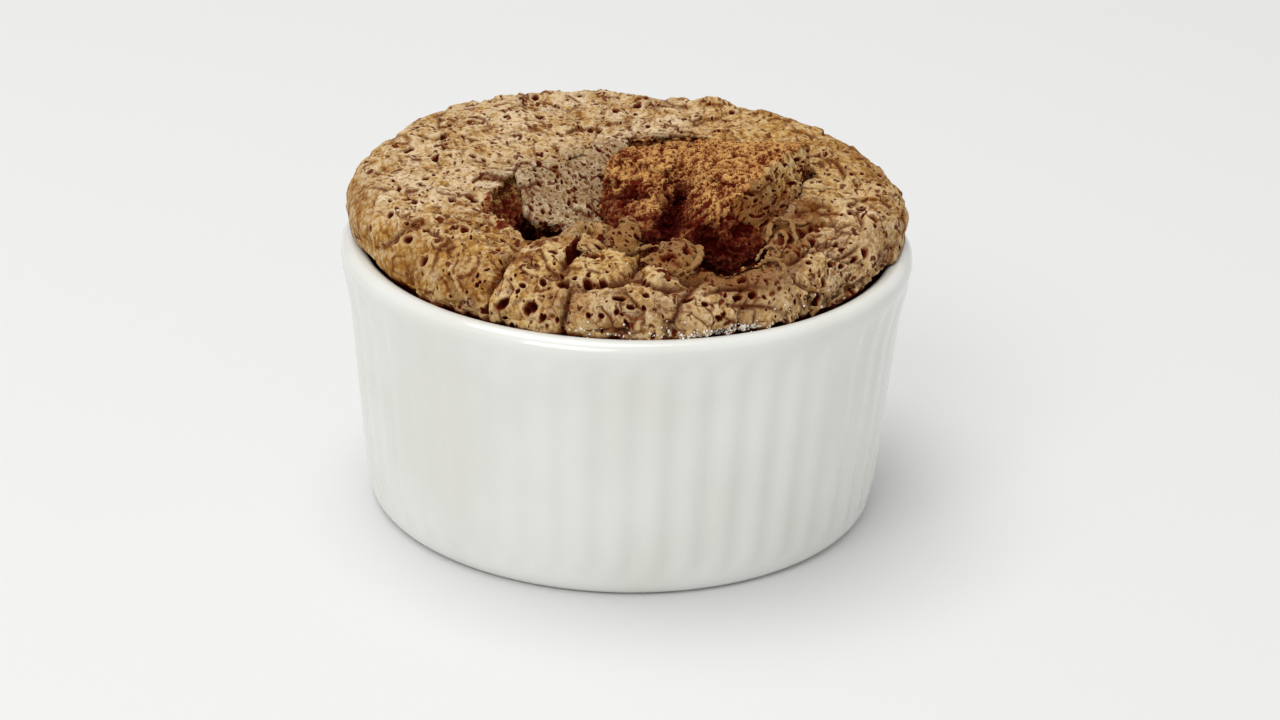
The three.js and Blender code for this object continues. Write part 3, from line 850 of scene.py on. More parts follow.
def swell(angle, cfg, way="out"):
    # 1 where the crust swells out over the rim, or up, and 0 at the front, where it stays low inside the rim
    fromFront = abs(np.mod(np.degrees(angle) - 90, 360) - 180)
    half, fade = cfg[way + "HalfAngle"], cfg[way + "Fade"]
    return smooth(half - fade / 2, half + fade / 2, fromFront)


def crustEdge(angle, cfg):
    # widest line of the crust: radius, height and width of the shoulder there
    waves = [depth * np.sin(count * angle + phase) for depth, count, phase in cfg["dents"]]
    dent = np.minimum(np.minimum(0, waves[0] + waves[1]), np.minimum(waves[0], waves[1]))
    out, up = swell(angle, cfg), swell(angle, cfg, "up")
    side = mix(cfg["bulgeRadius"], cfg["rightBulgeRadius"], smooth(-1, 1, np.cos(angle)))
    radius = mix(cfg["frontEdgeRadius"], side, out) + dent
    height = mix(cfg["frontEdgeHeight"], cfg["bulgeHeight"], up)
    return radius, height, mix(cfg["frontShoulder"], cfg["shoulder"], up)


def lumps(x, y):
    # three crossing waves, from -1 to 1
    return (np.sin(0.42 * x + 1.3) * np.sin(0.37 * y - 0.6)
            + np.sin(0.23 * x - 0.71 * y + 2.1) + 0.8 * np.sin(0.66 * x + 0.31 * y)) / 2.8


def shoulderDrop(x, y, cfg):
    # height of the flat top, how far out on the shoulder a point is, and how far it has dropped there
    radius = np.hypot(x, y)
    edgeRadius, edgeHeight, shoulder = crustEdge(np.arctan2(y, x), cfg)
    rise = cfg["cornerRise"] * 2 * abs(x) * np.maximum(0, y) / cfg["bulgeRadius"] ** 2
    plane = cfg["crustHeight"] + cfg["tilt"][0] * x + cfg["tilt"][1] * y
    flat = plane + rise - cfg["edgeDrop"] * (radius / cfg["bulgeRadius"]) ** 4
    out = clamped(1 - (edgeRadius - radius) / shoulder)
    return flat, out, (flat - edgeHeight) * (1 - np.sqrt(1 - out ** 2))


def crustTop(x, y, cfg):
    # nearly flat, highest at the back corners, with a rounded shoulder down to the edge
    flat, out, drop = shoulderDrop(x, y, cfg)
    return flat - drop + cfg["lump"] * lumps(x, y) * (1 - out)


def patternPlace(x, y, cfg):
    # plan place moved outwards by a share of its drop, so that the pattern keeps its size where it is steep
    drop = shoulderDrop(x, y, cfg)[2]
    grow = 1 + cfg["unroll"] * drop / np.maximum(np.hypot(x, y), 1)
    return x * grow, y * grow


def hingeDistance(x, y, cfg):
    # how far inside the hinge line a point lies, towards the hollow
    (ax, ay), (bx, by) = cfg["hinge"]
    return ((bx - ax) * (ay - y) + (by - ay) * (x - ax)) / math.hypot(bx - ax, by - ay)


def slabTop(x, y, cfg):
    # crust that bends down softly past the hinge
    inside = hingeDistance(x, y, cfg)
    bent = cfg["bend"] * np.logaddexp(0, inside / cfg["bend"])
    return crustTop(x, y, cfg) - math.tan(math.radians(cfg["dip"])) * bent


def tearRadius(angle, cfg):
    # outline of the torn hollow as a radius round the middle, with a ragged edge
    points = np.array(cfg["tear"])
    dense = np.vstack([mix(a, b, np.linspace(0, 1, 12, endpoint=False)[:, None])
                       for a, b in zip(points, np.roll(points, -1, axis=0))])
    turn = np.mod(np.arctan2(dense[:, 1], dense[:, 0]), fullTurn)
    order = np.argsort(turn)
    radius = np.interp(np.mod(angle, fullTurn), turn[order], np.hypot(*dense.T)[order], period=fullTurn)
    place = inPlan(radius * np.cos(angle), radius * np.sin(angle))
    return radius + cfg["tearRagged"] * layeredNoise(place, *cfg["tearNoise"])


def hingeShare(angle, cfg):
    # 1 along the hinge, where the crust runs on unbroken, 0 along the tear
    ends = [math.atan2(y, x) for x, y in cfg["hinge"]]
    (lowA, lowB), (highA, highB) = cfg["hingeFade"]
    low, high, turn = min(ends), max(ends), np.mod(angle, fullTurn)
    return smooth(low + lowA, low + lowB, turn) * (1 - smooth(high + highA, high + highB, turn))


def zone(x, y, share, fadeX, fadeY):
    # a share in one part of the plan, that fades in from the first to the second value of x and of y
    return share * smooth(*fadeX, x) * smooth(*fadeY, y)


# souffle: relief of the crust and of the crumb

# Noises here and below: size, seed, layers, and how much each layer fades. Pores: spacing, seed, share of the
# cells that hold one, least and greatest half width, stretch, turn and its spread, and the depth over the
# half width from shallow to steep.
reliefSet = {
    # folds of the skin: path in plan, depth and half width of the groove, lift of its left lip, valley around
    "folds": [
        ([(-17, -26), (-18.6, -31.4), (-19.3, -34.4), (-21.4, -36.6), (-22.6, -39.5)], 1.5, 0.65, 0.5, 0.5),
        ([(-9.6, -37), (-8.6, -39.6), (-9.1, -41.2), (-9.7, -43), (-9.8, -46)], 1.5, 0.55, 0.2, 0.7),
        ([(-8.8, -39.6), (-6.8, -39.6), (-4.6, -38.8), (-2.2, -38.4), (0.4, -37.6), (1.6, -35), (2.6, -31.5)],
         1.3, 0.7, 0.5, 0.5),
        ([(-6.2, -23.5), (-7.6, -27.6), (-8.8, -30.6), (-9.6, -34), (-9.8, -38)], 1.5, 0.7, -0.4, 0.5),
        ([(-18.8, -34.2), (-18.4, -31.6), (-16.6, -30.9), (-14.9, -32.6), (-13.8, -34.8)],
         0.8, 0.5, -0.45, 0.1),
        ([(12.6, -34), (11.3, -36.3), (10.2, -38.5), (8.7, -40.4), (7.5, -42), (7, -44.5)],
         1.2, 0.7, -0.4, 0.6),
        ([(24.5, -29.5), (27, -31), (28.9, -30.6), (30.3, -31), (30.9, -33.2)], 1.3, 0.5, -0.6, 0.2),
        ([(2, -36.5), (5, -38.5), (8, -38.4), (11, -37)], 0.8, 0.6, 0.5, 0.3),
        ([(-41.5, -13.5), (-40.9, -9), (-38.4, -6), (-35, -9.6), (-33, -10.6)], 0.8, 0.45, -0.7, 0.0),
        ([(-33.2, -10.4), (-32.4, -7.4), (-31, -4.4), (-28.4, -5.2), (-26.2, -6), (-24, -9.4)],
         0.8, 0.45, -0.7, 0.0),
        ([(-30.5, 3.8), (-28, 5.2), (-25.4, 3.2), (-23.6, 1.6)], 0.6, 0.4, -0.5, 0.0),
        ([(-40.4, -17.2), (-38.5, -19), (-36.8, -19.4), (-34.8, -18.4)], 1.0, 0.8, -0.5, 0.0),
        ([(-32.6, -19), (-31.2, -21.4), (-29.6, -23.6), (-28.4, -26.4)], 0.8, 0.4, 0.5, 0.0),
        ([(-25.4, -24.5), (-24, -21), (-22.6, -17.4), (-21.6, -15)], 0.8, 0.5, -0.6, 0.1),
        ([(-36.4, 16), (-33, 14.6), (-31, 17), (-28, 16.6)], 0.7, 0.45, -0.5, 0.0),
        ([(30, 17.5), (34, 13), (36, 8), (35.5, 3)], 0.7, 0.5, 0.5, 0.2),
        ([(28.6, -20), (32, -22.4), (35.8, -21.4), (39, -18.6)], 0.8, 0.45, -0.5, 0.1),
        ([(31, -12.6), (34, -13.6), (37.2, -12)], 0.8, 0.45, 0.5, 0.1),
        ([(33.4, -27.5), (36, -25), (38.5, -22.4)], 0.7, 0.45, -0.4, 0.2),
        ([(14, -39.4), (18, -38.2), (22.5, -36.4), (26.5, -34.6)], 0.5, 0.5, 0.3, 0.2),
        ([(5.0, -27), (3.0, -30), (2.2, -32.6), (0.8, -34.4)], 2.2, 0.9, 0.3, 0.5),
        ([(6.2, -35.2), (9, -36.4), (11.6, -35.6), (13.4, -34.4)], 1.8, 0.8, -0.3, 0.3),
        ([(25.4, -21.5), (27.8, -18.2), (30, -15.4), (31.2, -13)], 1.6, 0.7, -0.3, 0.4),
        ([(27.7, -23.5), (30.1, -21), (33.4, -18.9), (35.6, -18.2)], 1.2, 0.5, 0.4, 0.2),
        ([(24.8, -28.7), (26.8, -27), (28.6, -24.5), (31.2, -21.8)], 1.0, 0.45, 0.5, 0.2),
        ([(26.4, -11), (28.4, -8.6), (31.5, -6.4), (33.8, -8.7)], 0.9, 0.45, 0.5, 0.1),
        ([(31.3, -9.6), (33.2, -11.2), (34, -14.5), (33.4, -17.4)], 0.9, 0.4, -0.5, 0.1),
        ([(35.5, -5.8), (37.4, -7.9), (38.2, -11), (37.9, -14.4)], 0.9, 0.4, 0.5, 0.1),
        ([(33.8, -22.1), (35.8, -20), (37.9, -17.1)], 0.9, 0.4, 0.5, 0.1),
        ([(35, -24.8), (37.2, -22.7), (39, -20)], 0.9, 0.4, -0.5, 0.1),
        ([(34.4, 7.5), (36.8, 5.3), (38.6, 0.8)], 0.8, 0.4, 0.4, 0.1),
        ([(11.8, -39.2), (14.9, -37.2), (18.8, -35.8), (22.8, -34.6)], 0.9, 0.45, 0.5, 0.2),
        ([(-6, -43), (-1, -43.4), (4, -43)], 0.5, 0.5, 0.35, 0.2),
    ],
    "foldWarp": 0.4, "valleyWidth": 3.0, "lipWidth": 2.4, "lipShare": 0.5, "lipStart": (0, 0.3),
    "scales": [(6.4, 11, 0.16, 1.0), (3.1, 12, 0.2, 0.5)],     # size, seed, steepness, step between levels
    "scaleWarp": 1.1, "scaleFlat": 0.75,                        # the flat share, where nothing is puffed
    # ledges between scales: where the drop shows, darkness of the line of painted shade along it, start and
    # width of that line, width and depth of the cut under it
    "ledge": {"drop": (0.2, 0.75), "dark": 0.95, "start": 1.15, "line": 0.36, "width": 0.45, "depth": 0.22},
    "wobble": [(3.4, 31, 4, 0.6), (3.4, 41, 4, 0.6)],           # noises that bend every pattern sideways
    "wrinkle": (1.3, 0.17),                                     # size and height
    "wrinkleStretch": (1.1, 0.7, 1), "wrinkleWarp": 0.3, "wrinkleNoise": (61, 4, 0.65),
    "wrinkleRise": 0.6, "wrinkleCalm": 0.5,
    "fineShare": (0.25, 2.2),       # of all relief so far and of wrinkles, in the fine part
    "puff": 0.55, "puffNoise": (7.0, 13, 2),
    "frothNoise": (4.2, 17, 4, 0.6), "frothOver": (0.0, 0.45),
    "pores": [
        (4.4, 21, 0.42, 0.38, 0.72, 1.6, 1.3, 1.8, 1.0, 1.9),
        (2.1, 22, 0.38, 0.22, 0.44, 2.0, 1.4, 2.2, 1.0, 2.0),
        (1.2, 23, 0.14, 0.14, 0.24, 2.2, 1.5, 2.6, 0.8, 1.6),
    ],
    "poreWarp": 0.45, "poreUneven": 0.2, "poreNoise": (0.9, 19, 2),
    # large burst bubbles: place in plan, half length, half width, turn in degrees
    "burst": [
        (-22.8, 14.3, 1.0, 0.7, 20), (-31.2, 13.2, 0.8, 0.6, 10), (-30.8, 9.3, 1.0, 0.7, 0),
        (-26.3, 7.5, 0.7, 0.7, 0), (-25.3, -9.8, 1.2, 0.8, -20), (-35.2, -10.6, 1.6, 0.6, -5),
        (-38.1, -14.8, 0.7, 0.7, 0), (-41.4, -14.2, 0.6, 0.6, 0), (-34.9, -21.3, 1.0, 0.7, -15),
        (-36.9, -20, 0.8, 0.6, 0), (-25.9, -21.8, 0.7, 1.0, 0), (-32, -26.7, 1.2, 0.9, -40),
        (-8.6, -30.1, 1.1, 1.4, 10), (-9.9, -38.2, 1.1, 1.2, 30), (-13, -37.2, 0.6, 1.0, 0),
        (-5.7, -38.8, 0.9, 0.8, 0), (-5, -30.2, 0.8, 0.9, 30), (-18.7, -38.1, 1.4, 0.7, 10),
        (-14.4, -39.8, 1.2, 0.9, -20), (-12.5, -41, 0.7, 0.5, 10), (-21.7, -37.4, 0.8, 0.7, 0),
        (1.1, -41.9, 0.7, 0.5, 0), (-0.6, -40.8, 1.1, 0.6, 20), (-3.6, -34.2, 0.6, 0.8, 0),
        (-16, -37.1, 0.5, 0.6, 0), (-18.6, -38.9, 0.7, 0.5, 0), (0.6, -43.1, 0.8, 0.4, -60),
        (40, -9.2, 1.1, 1.6, 10), (36.6, -8.6, 0.8, 1.0, 0), (31.5, 15.3, 0.8, 0.8, 0),
        (38.4, -18, 0.7, 1.0, 30), (41.9, -15.9, 0.7, 0.6, 0), (37.8, -23.2, 0.9, 0.6, 20),
        (31.8, -27.7, 1.0, 0.7, -20), (31.3, -29.2, 0.9, 0.6, 0), (18.3, -34.6, 0.9, 0.9, 0),
        (28.8, -16.8, 1.1, 1.0, 40), (29.7, -20.1, 0.9, 0.8, 0), (28.9, -26.7, 0.7, 0.6, 0),
        (27.1, -25.5, 0.8, 0.6, 20), (16.4, -35.9, 0.6, 0.4, 0), (3.4, -40.2, 0.6, 0.5, 20),
        (9.5, -36.9, 1.0, 0.7, 0), (12.6, -39.9, 0.7, 0.5, 0), (18, -37.3, 0.7, 0.6, 0),
        (14.7, -40.3, 0.8, 0.4, 0), (32.8, -23.9, 0.6, 0.9, 0),
    ],
    "burstDepth": 1.3,      # over the half width
    "lip": 0.2, "lipShows": 0.6,
    "lipAt": (1.35, 0.4),   # radii from a pore's middle to its lip, and half the lip's width
    "pebbles": (1.0, 24, 1.0, 0.36, 0.66, 1.3, 0.4, 3.0, 0.3, 0.4),
    "pebbleHeight": 0.11, "pebbleWarp": 0.3, "pebbleShare": (0.3, 1.0), "pebbleGap": -0.3,
    "pebbleShows": (0.25, 0.6), "pebbleEdge": (0.55, 1.25), "pebbleShift": 0.35,
}

# crust seen on the torn chunk: long slits that lie along its ridge
faceRelief = {
    **reliefSet, "folds": [], "burst": [], "scales": [(4.2, 14, 0.2, 0.6)], "wrinkle": (1.2, 0.2),
    "pores": [(1.8, 26, 0.95, 0.2, 0.4, 4.2, 0.25, 0.9, 0.7, 1.3),
              (1.2, 27, 0.4, 0.12, 0.2, 3.4, 0.25, 1.2, 0.8, 1.6)],
}

# sunken slab: dense froth with many small slanting pores
slabRelief = {
    **reliefSet, "burst": [], "scales": [(5.2, 15, 0.12, 0.5)], "wrinkle": (1.1, 0.16), "pebbleHeight": 0.2,
    "pores": [(1.9, 28, 0.8, 0.22, 0.42, 2.6, 2.0, 0.9, 1.1, 2.1),
              (1.1, 29, 0.5, 0.13, 0.22, 2.2, 2.0, 1.6, 0.9, 1.6)],
}

# torn crumb: height and noise of the lumps, and of the ridges left where another noise crosses 0, with its
# stretch; then the sizes of bubbles, as spacing, seed and depth
crumbRough = {
    "lumps": (0.6, (4.6, 81, 4, 0.55)),
    "ridges": (0.5, (2.4, 86, 4, 0.65)), "ridgeStretch": (0.6, 1, 1.7),
    "bubbles": ((2.3, 91, 0.65), (1.2, 95, 0.45), (0.7, 99, 0.24)),
}


def crustRelief(x, y, amount, cfg, calm=0):
    # puffs, scales that overlap, folds, wrinkles, froth and pores, all in plan. amount is 1 on the puffed
    # front, less elsewhere, and calm is 1 where no pore opens. Gives the height, its fine part, which the
    # finish makes paler where raised and darker where sunk, as painted highlight and painted shade, the
    # distance to the nearest pore over its radius, lines of painted shade, and froth.
    place = inPlan(x, y)
    wobble = [layeredNoise(place, *noise) for noise in cfg["wobble"]]

    def bent(reach):
        # the place in plan, moved sideways by the wobble
        return x + reach * wobble[0], y + reach * wobble[1]

    form = cfg["puff"] * amount * layeredNoise(place, *cfg["puffNoise"])
    line, ledge, flat = np.zeros(x.shape), cfg["ledge"], cfg["scaleFlat"]
    for size, seed, steepness, step in cfg["scales"]:
        height, border, fall = scales(*bent(cfg["scaleWarp"]), size, seed, steepness, step)
        drop = clamped(fall / step)
        form += height * mix(flat, 1.0, amount) * (1 - flat * calm)
        # a line of painted shade along each ledge
        beside = clamped(ledge["start"] - border / ledge["line"])
        line = np.maximum(line, ledge["dark"] * smooth(*ledge["drop"], drop) * beside)
        form -= ledge["depth"] * step * drop * clamped(1 - border / ledge["width"])
    for path, depth, width, lift, valley in cfg["folds"]:
        path = np.stack(patternPlace(*np.array(path).T, formSet), axis=1)
        away, side, share, _ = chainDistance(*bent(cfg["foldWarp"]), path)
        taper = clamped(4 * share * (1 - share)) ** 0.5
        groove = np.exp(-(away / width) ** 2)
        form -= taper * (depth * groove + valley * np.exp(-(away / cfg["valleyWidth"]) ** 2))
        lifted = lift * side * np.exp(-away / cfg["lipWidth"]) * smooth(*cfg["lipStart"], away)
        form += taper * cfg["lipShare"] * lifted
        # painted shade in the fold's groove
        line = np.maximum(line, taper * groove)
    size, height = cfg["wrinkle"]
    creased = place * cfg["wrinkleStretch"] + cfg["wrinkleWarp"] * np.stack(wobble + [0 * x], axis=-1)
    ridge = cfg["wrinkleRise"] - 2 * abs(layeredNoise(creased, size * 2, *cfg["wrinkleNoise"]))
    wrinkle = height * ridge * (1 - cfg["wrinkleCalm"] * calm)
    form += wrinkle
    fine = cfg["fineShare"][0] * form + cfg["fineShare"][1] * wrinkle
    froth = smooth(*cfg["frothOver"], layeredNoise(place + 40, *cfg["frothNoise"])) * (1 - line)
    pebble = pores(*bent(cfg["pebbleWarp"]), cfg["pebbles"])[0]
    dome = np.clip(1 - pebble ** 2, cfg["pebbleGap"], 1)
    form += cfg["pebbleHeight"] * mix(*cfg["pebbleShare"], froth) * dome
    fine += mix(*cfg["pebbleShows"], froth) * (cfg["pebbleShift"] - smooth(*cfg["pebbleEdge"], pebble))
    uneven = cfg["poreUneven"] * layeredNoise(place, *cfg["poreNoise"])
    poreX, poreY = bent(cfg["poreWarp"])
    found = [pores(poreX, poreY, recipe) for recipe in cfg["pores"]]
    found = [(away + calm + uneven, depth) for away, depth in found]
    for oval in cfg["burst"]:
        middle = patternPlace(np.array(oval[0]), np.array(oval[1]), formSet)
        away = ovalDistance(poreX, poreY, (*middle, *oval[2:])) + uneven
        found.append((away, np.full(x.shape, cfg["burstDepth"] * min(oval[2], oval[3]))))
    nearest, pit = np.full(x.shape, 2.0), np.zeros(x.shape)
    lipMiddle, lipHalf = cfg["lipAt"]
    for away, depth in found:
        nearest = np.minimum(nearest, away)
        pit = np.maximum(pit, depth * clamped(1 - away ** 3))
        lip = clamped(1 - abs(away - lipMiddle) / lipHalf) * np.minimum(depth, 1)
        form += cfg["lip"] * lip
        fine += cfg["lipShows"] * lip
    return form - pit, fine, nearest, line, froth


def crumbRelief(points, coarse=1.0):
    # lumps and ridges with bubbles bitten out of them, and the nearest bubble's distance over its radius
    height, noise = crumbRough["lumps"]
    form = height * coarse * layeredNoise(points, *noise)
    height, noise = crumbRough["ridges"]
    form += height * coarse * (0.5 - 2.2 * abs(layeredNoise(points * crumbRough["ridgeStretch"], *noise)))
    nearest = np.full(form.shape, 2.0)
    for spacing, seed, depth in crumbRough["bubbles"]:
        bend = 0.5 * spacing * softNoise(points, spacing * 0.7, seed + 2)
        away = bubbles(points + bend[..., None], spacing, seed)
        form -= depth * coarse * clamped(1 - away ** 2)
        nearest = np.minimum(nearest, away)
    return form, nearest


# souffle: crust, a ring in three pieces whose ends meet in folds of the front and behind the torn chunk

crustSet = {
    "pieces": [("left", 100, 240, 520), ("front", 240, 314, 400), ("right", 314, 460, 540)],
    "rows": 182,
    "lip": [(1.6, -3.6), (0.7, -2.1), (0.0, -1.3), (-0.15, -0.55), (0.0, -0.12)],   # torn edge: inset, height
    "clear": 2.8,                   # distance of the underside from the middle of the rim's roll
    "wallGap": 0.4,
    "bottom": 36, "bottomShare": 0.25,
    # arcs under the bulge and inside the rim, from and to in degrees and steps; inset of the first row below
    "underArc": (70, 150, 8), "insideArc": (-5, -45, 8), "edgeInset": 0.3,
    "hingeLip": -0.5,               # inset and height of every lip row where the crust runs on unbroken
    # rises and dips of the tear's edge: angle and half width in degrees, height, unevenness, reach, stretch
    "edgeMoves": [(-101, 17, 1.3, 1.3, 3.2, 0), (-122, 10, -0.8, 0.5, 3.0, 0), (-72, 16, -0.6, 1.0, 3.0, 0),
                  (-34, 20, -1.4, 0.8, 3.0, 0.8)],
    "edgeNoise": (2.6, 141, 3, 0.6),
    "puffedSides": 0.35,            # how strong puffs are at the sides, against the front
    # patches beside the tear where the skin has gone and moist crumb shows, darkened by painted shade: place
    # in plan, half length and width, turn in degrees, how much painted shade darkens the crumb
    "bare": [(4.4, -29.0, 5.0, 2.0, -60, 0.95), (12.2, -30.2, 1.4, 3.4, 0, 0.95),
             (-2.8, -25.0, 2.4, 1.0, 10, 0.9), (28.4, -16.6, 3.2, 0.7, -12, 0.95),
             (25.4, -21.0, 1.3, 4.0, 0, 0.95), (6.6, -35.6, 2.4, 0.6, 0, 0.9),
             (-8.4, -27.6, 0.7, 3.6, -14, 1.0), (-22.8, -12.0, 1.0, 4.0, 0, 0.7),
             (-19.8, -20.0, 1.2, 1.8, 0, 0.7)],
    "bareRagged": 0.9, "bareNoise": (1.5, 161, 4, 0.75),
    "crumb": 0.8,                   # how coarse the crumb of torn edges is
    # calm edge at the left and back: share, band inside the widest line, cosine and sine of the direction
    "calmEdge": (0.9, (3.6, 1.2), (0.35, -0.2), (-0.8, -0.5)),
    "calmBack": (0.2, (6, 26), (2, 20)),
    # painted shade near the tear, browner and with less froth: distance from it, less to the left, only at
    # the front
    "near": (8.5, 1.5), "nearLeft": (0.35, (-6, 4)), "nearFront": (1, (-24, -14), (0, -12)),
    "nearShade": 0.7, "nearFroth": 0.6,
    # painted shadow in the gap inside the rim and under the bulge: height where it starts and where it is
    # full, for both
    "gapInside": (46.1, 45.4), "gapUnder": (47.3, 46.6), "gapShade": 0.25,
    # front shoulder paler, froth colour that is partly painted light: share from left to right, and where it
    # is in x, radius and sine
    "shoulderFrothLight": ((0.3, 0.45), (-4, 12)), "shoulderBand": ((-24, -8), (32, 40), (-0.1, -0.35)),
    "lessFroth": (0.7, (5, 25), (-8, 12)),
    "warmFront": (-10, -28), "warmRight": (0, 25), "warmBack": ((0.7, 1.0), (-4, 14)),
    # deep: height below which torn crumb is darkened with painted shade, and over how much
    "deep": (54, 12),               # height where torn crumb starts to look deep, and over how much
}

shadeSet = {
    # the grey on the sunken slab is painted shade
    "greyHinge": (-7, 4), "greyRadius": (27, 22), "greyFront": (-19, -14), "grey": 0.5,
    "patches": 0.14, "patchNoise": (9, 111, 2),
    "edge": 0.10, "edgeBand": (9, 1),
    "right": (0.08, (0, 36), (-30, -12)), "backRight": (0.03, (8, 26), (0, 20)),
    "left": (0.05, (-6, -30), (14, -4)),
}


def sideProfile(angle, cfg, form, dish):
    # from the widest line, under the bulge and down inside the rim; at the front it goes straight down
    edgeRadius, edgeHeight, _ = crustEdge(angle, form)
    out = swell(angle, form)
    rollCentre, rollHeight = dish["rimRadius"] - dish["rollRadius"], dish["rimHeight"] - dish["rollRadius"]
    over = arc(rollCentre, rollHeight, cfg["clear"], *cfg["underArc"])
    inside = arc(form["frontEdgeRadius"] - cfg["clear"], form["frontEdgeHeight"], cfg["clear"],
                 *cfg["insideArc"])
    radius = mix(inside[:, 0][:, None], over[:, 0][:, None], out)
    height = mix(inside[:, 1][:, None], over[:, 1][:, None], out)
    wallHeights = np.array([rollHeight - dish["rollRadius"], cfg["bottom"]])
    wall = insideRadius(wallHeights, dish) - cfg["wallGap"]
    one = np.ones(angle.shape)
    radius = np.vstack([edgeRadius - cfg["edgeInset"], radius, wall[:, None] * one])
    height = np.vstack([mix(height[0], edgeHeight, 0.5), height, wallHeights[:, None] * one])
    return radius, height


def crustShade(x, y, angle, form, cfg):
    # 0 brown, 0.5 golden, 1 grey: grey on the sunken slab, which is painted shade, and in patches by the
    #                              tear,
    # golden towards the edge, and a little browner in three parts of the plan
    radius = np.hypot(x, y)
    grey = smooth(*cfg["greyHinge"], hingeDistance(x, y, form)) * smooth(*cfg["greyRadius"], radius)
    grey = grey * smooth(*cfg["greyFront"], y)
    patch = layeredNoise(inPlan(x, y), *cfg["patchNoise"])
    shade = 0.5 + cfg["patches"] * patch + cfg["grey"] * grey
    shade = shade - cfg["edge"] * smooth(*cfg["edgeBand"], crustEdge(angle, form)[0] - radius)
    shade = shade - zone(x, y, *cfg["right"]) * (1 - grey)
    return shade - zone(x, y, *cfg["backRight"]) - zone(x, y, *cfg["left"])


def crustProfile(angle, cfg, form, dish):
    # rows from the torn lip out over the top, over the shoulder and down inside the rim. With each point go
    # its place in the pattern, which is unrolled outwards on the side, and how torn and how far below it is.
    inner, hinge = tearRadius(angle, form), hingeShare(angle, form)
    parts = []
    for middle, half, *_, stretch in cfg["edgeMoves"]:
        parts.append(1 - smooth(0.3, 1.0, degreesFrom(np.degrees(angle), middle) / half))
        inner = inner - stretch * parts[-1]
    share = np.sin(np.linspace(0, np.pi / 2, 240))[:, None]
    radius = mix(inner, crustEdge(angle, form)[0], share)
    x, y = radius * np.cos(angle), radius * np.sin(angle)
    top = mix(crustTop(x, y, form), slabTop(x, y, form), hinge)
    rough = layeredNoise(inPlan(x, y), *cfg["edgeNoise"])
    for part, (_, _, height, uneven, reach, _) in zip(parts, cfg["edgeMoves"]):
        top = top + height * part * (1 + uneven * rough) * np.exp(-((radius - inner) / reach) ** 2)
    lipRadius = np.array([inner + mix(inset, cfg["hingeLip"], hinge) for inset, _ in cfg["lip"]])
    lipDrop = np.array([mix(drop, cfg["hingeLip"], hinge) for _, drop in cfg["lip"]])
    sideRadius, sideHeight = sideProfile(angle, cfg, form, dish)
    allRadius = np.vstack([lipRadius, radius, sideRadius])
    allHeight = np.vstack([top[0] + lipDrop, top, sideHeight])
    first, last = len(lipRadius), len(lipRadius) + len(radius) - 1
    step = np.hypot(np.diff(allRadius, axis=0), np.diff(allHeight, axis=0))
    arcLength = np.vstack([np.zeros(angle.shape), np.cumsum(step, axis=0)])
    unrolled = allRadius.copy()
    unrolled[first:last + 1] = np.hypot(*patternPlace(x, y, form))
    unrolled[last + 1:] = unrolled[last] + (arcLength - arcLength[last])[last + 1:]
    torn, below = np.zeros(allRadius.shape), np.zeros(allRadius.shape)
    torn[:first - 1] = 1 - hinge
    below[last + 1:] = 1
    return np.stack([allRadius * np.cos(angle), allRadius * np.sin(angle), allHeight,
                     unrolled * np.cos(angle), unrolled * np.sin(angle), torn, below], axis=2)


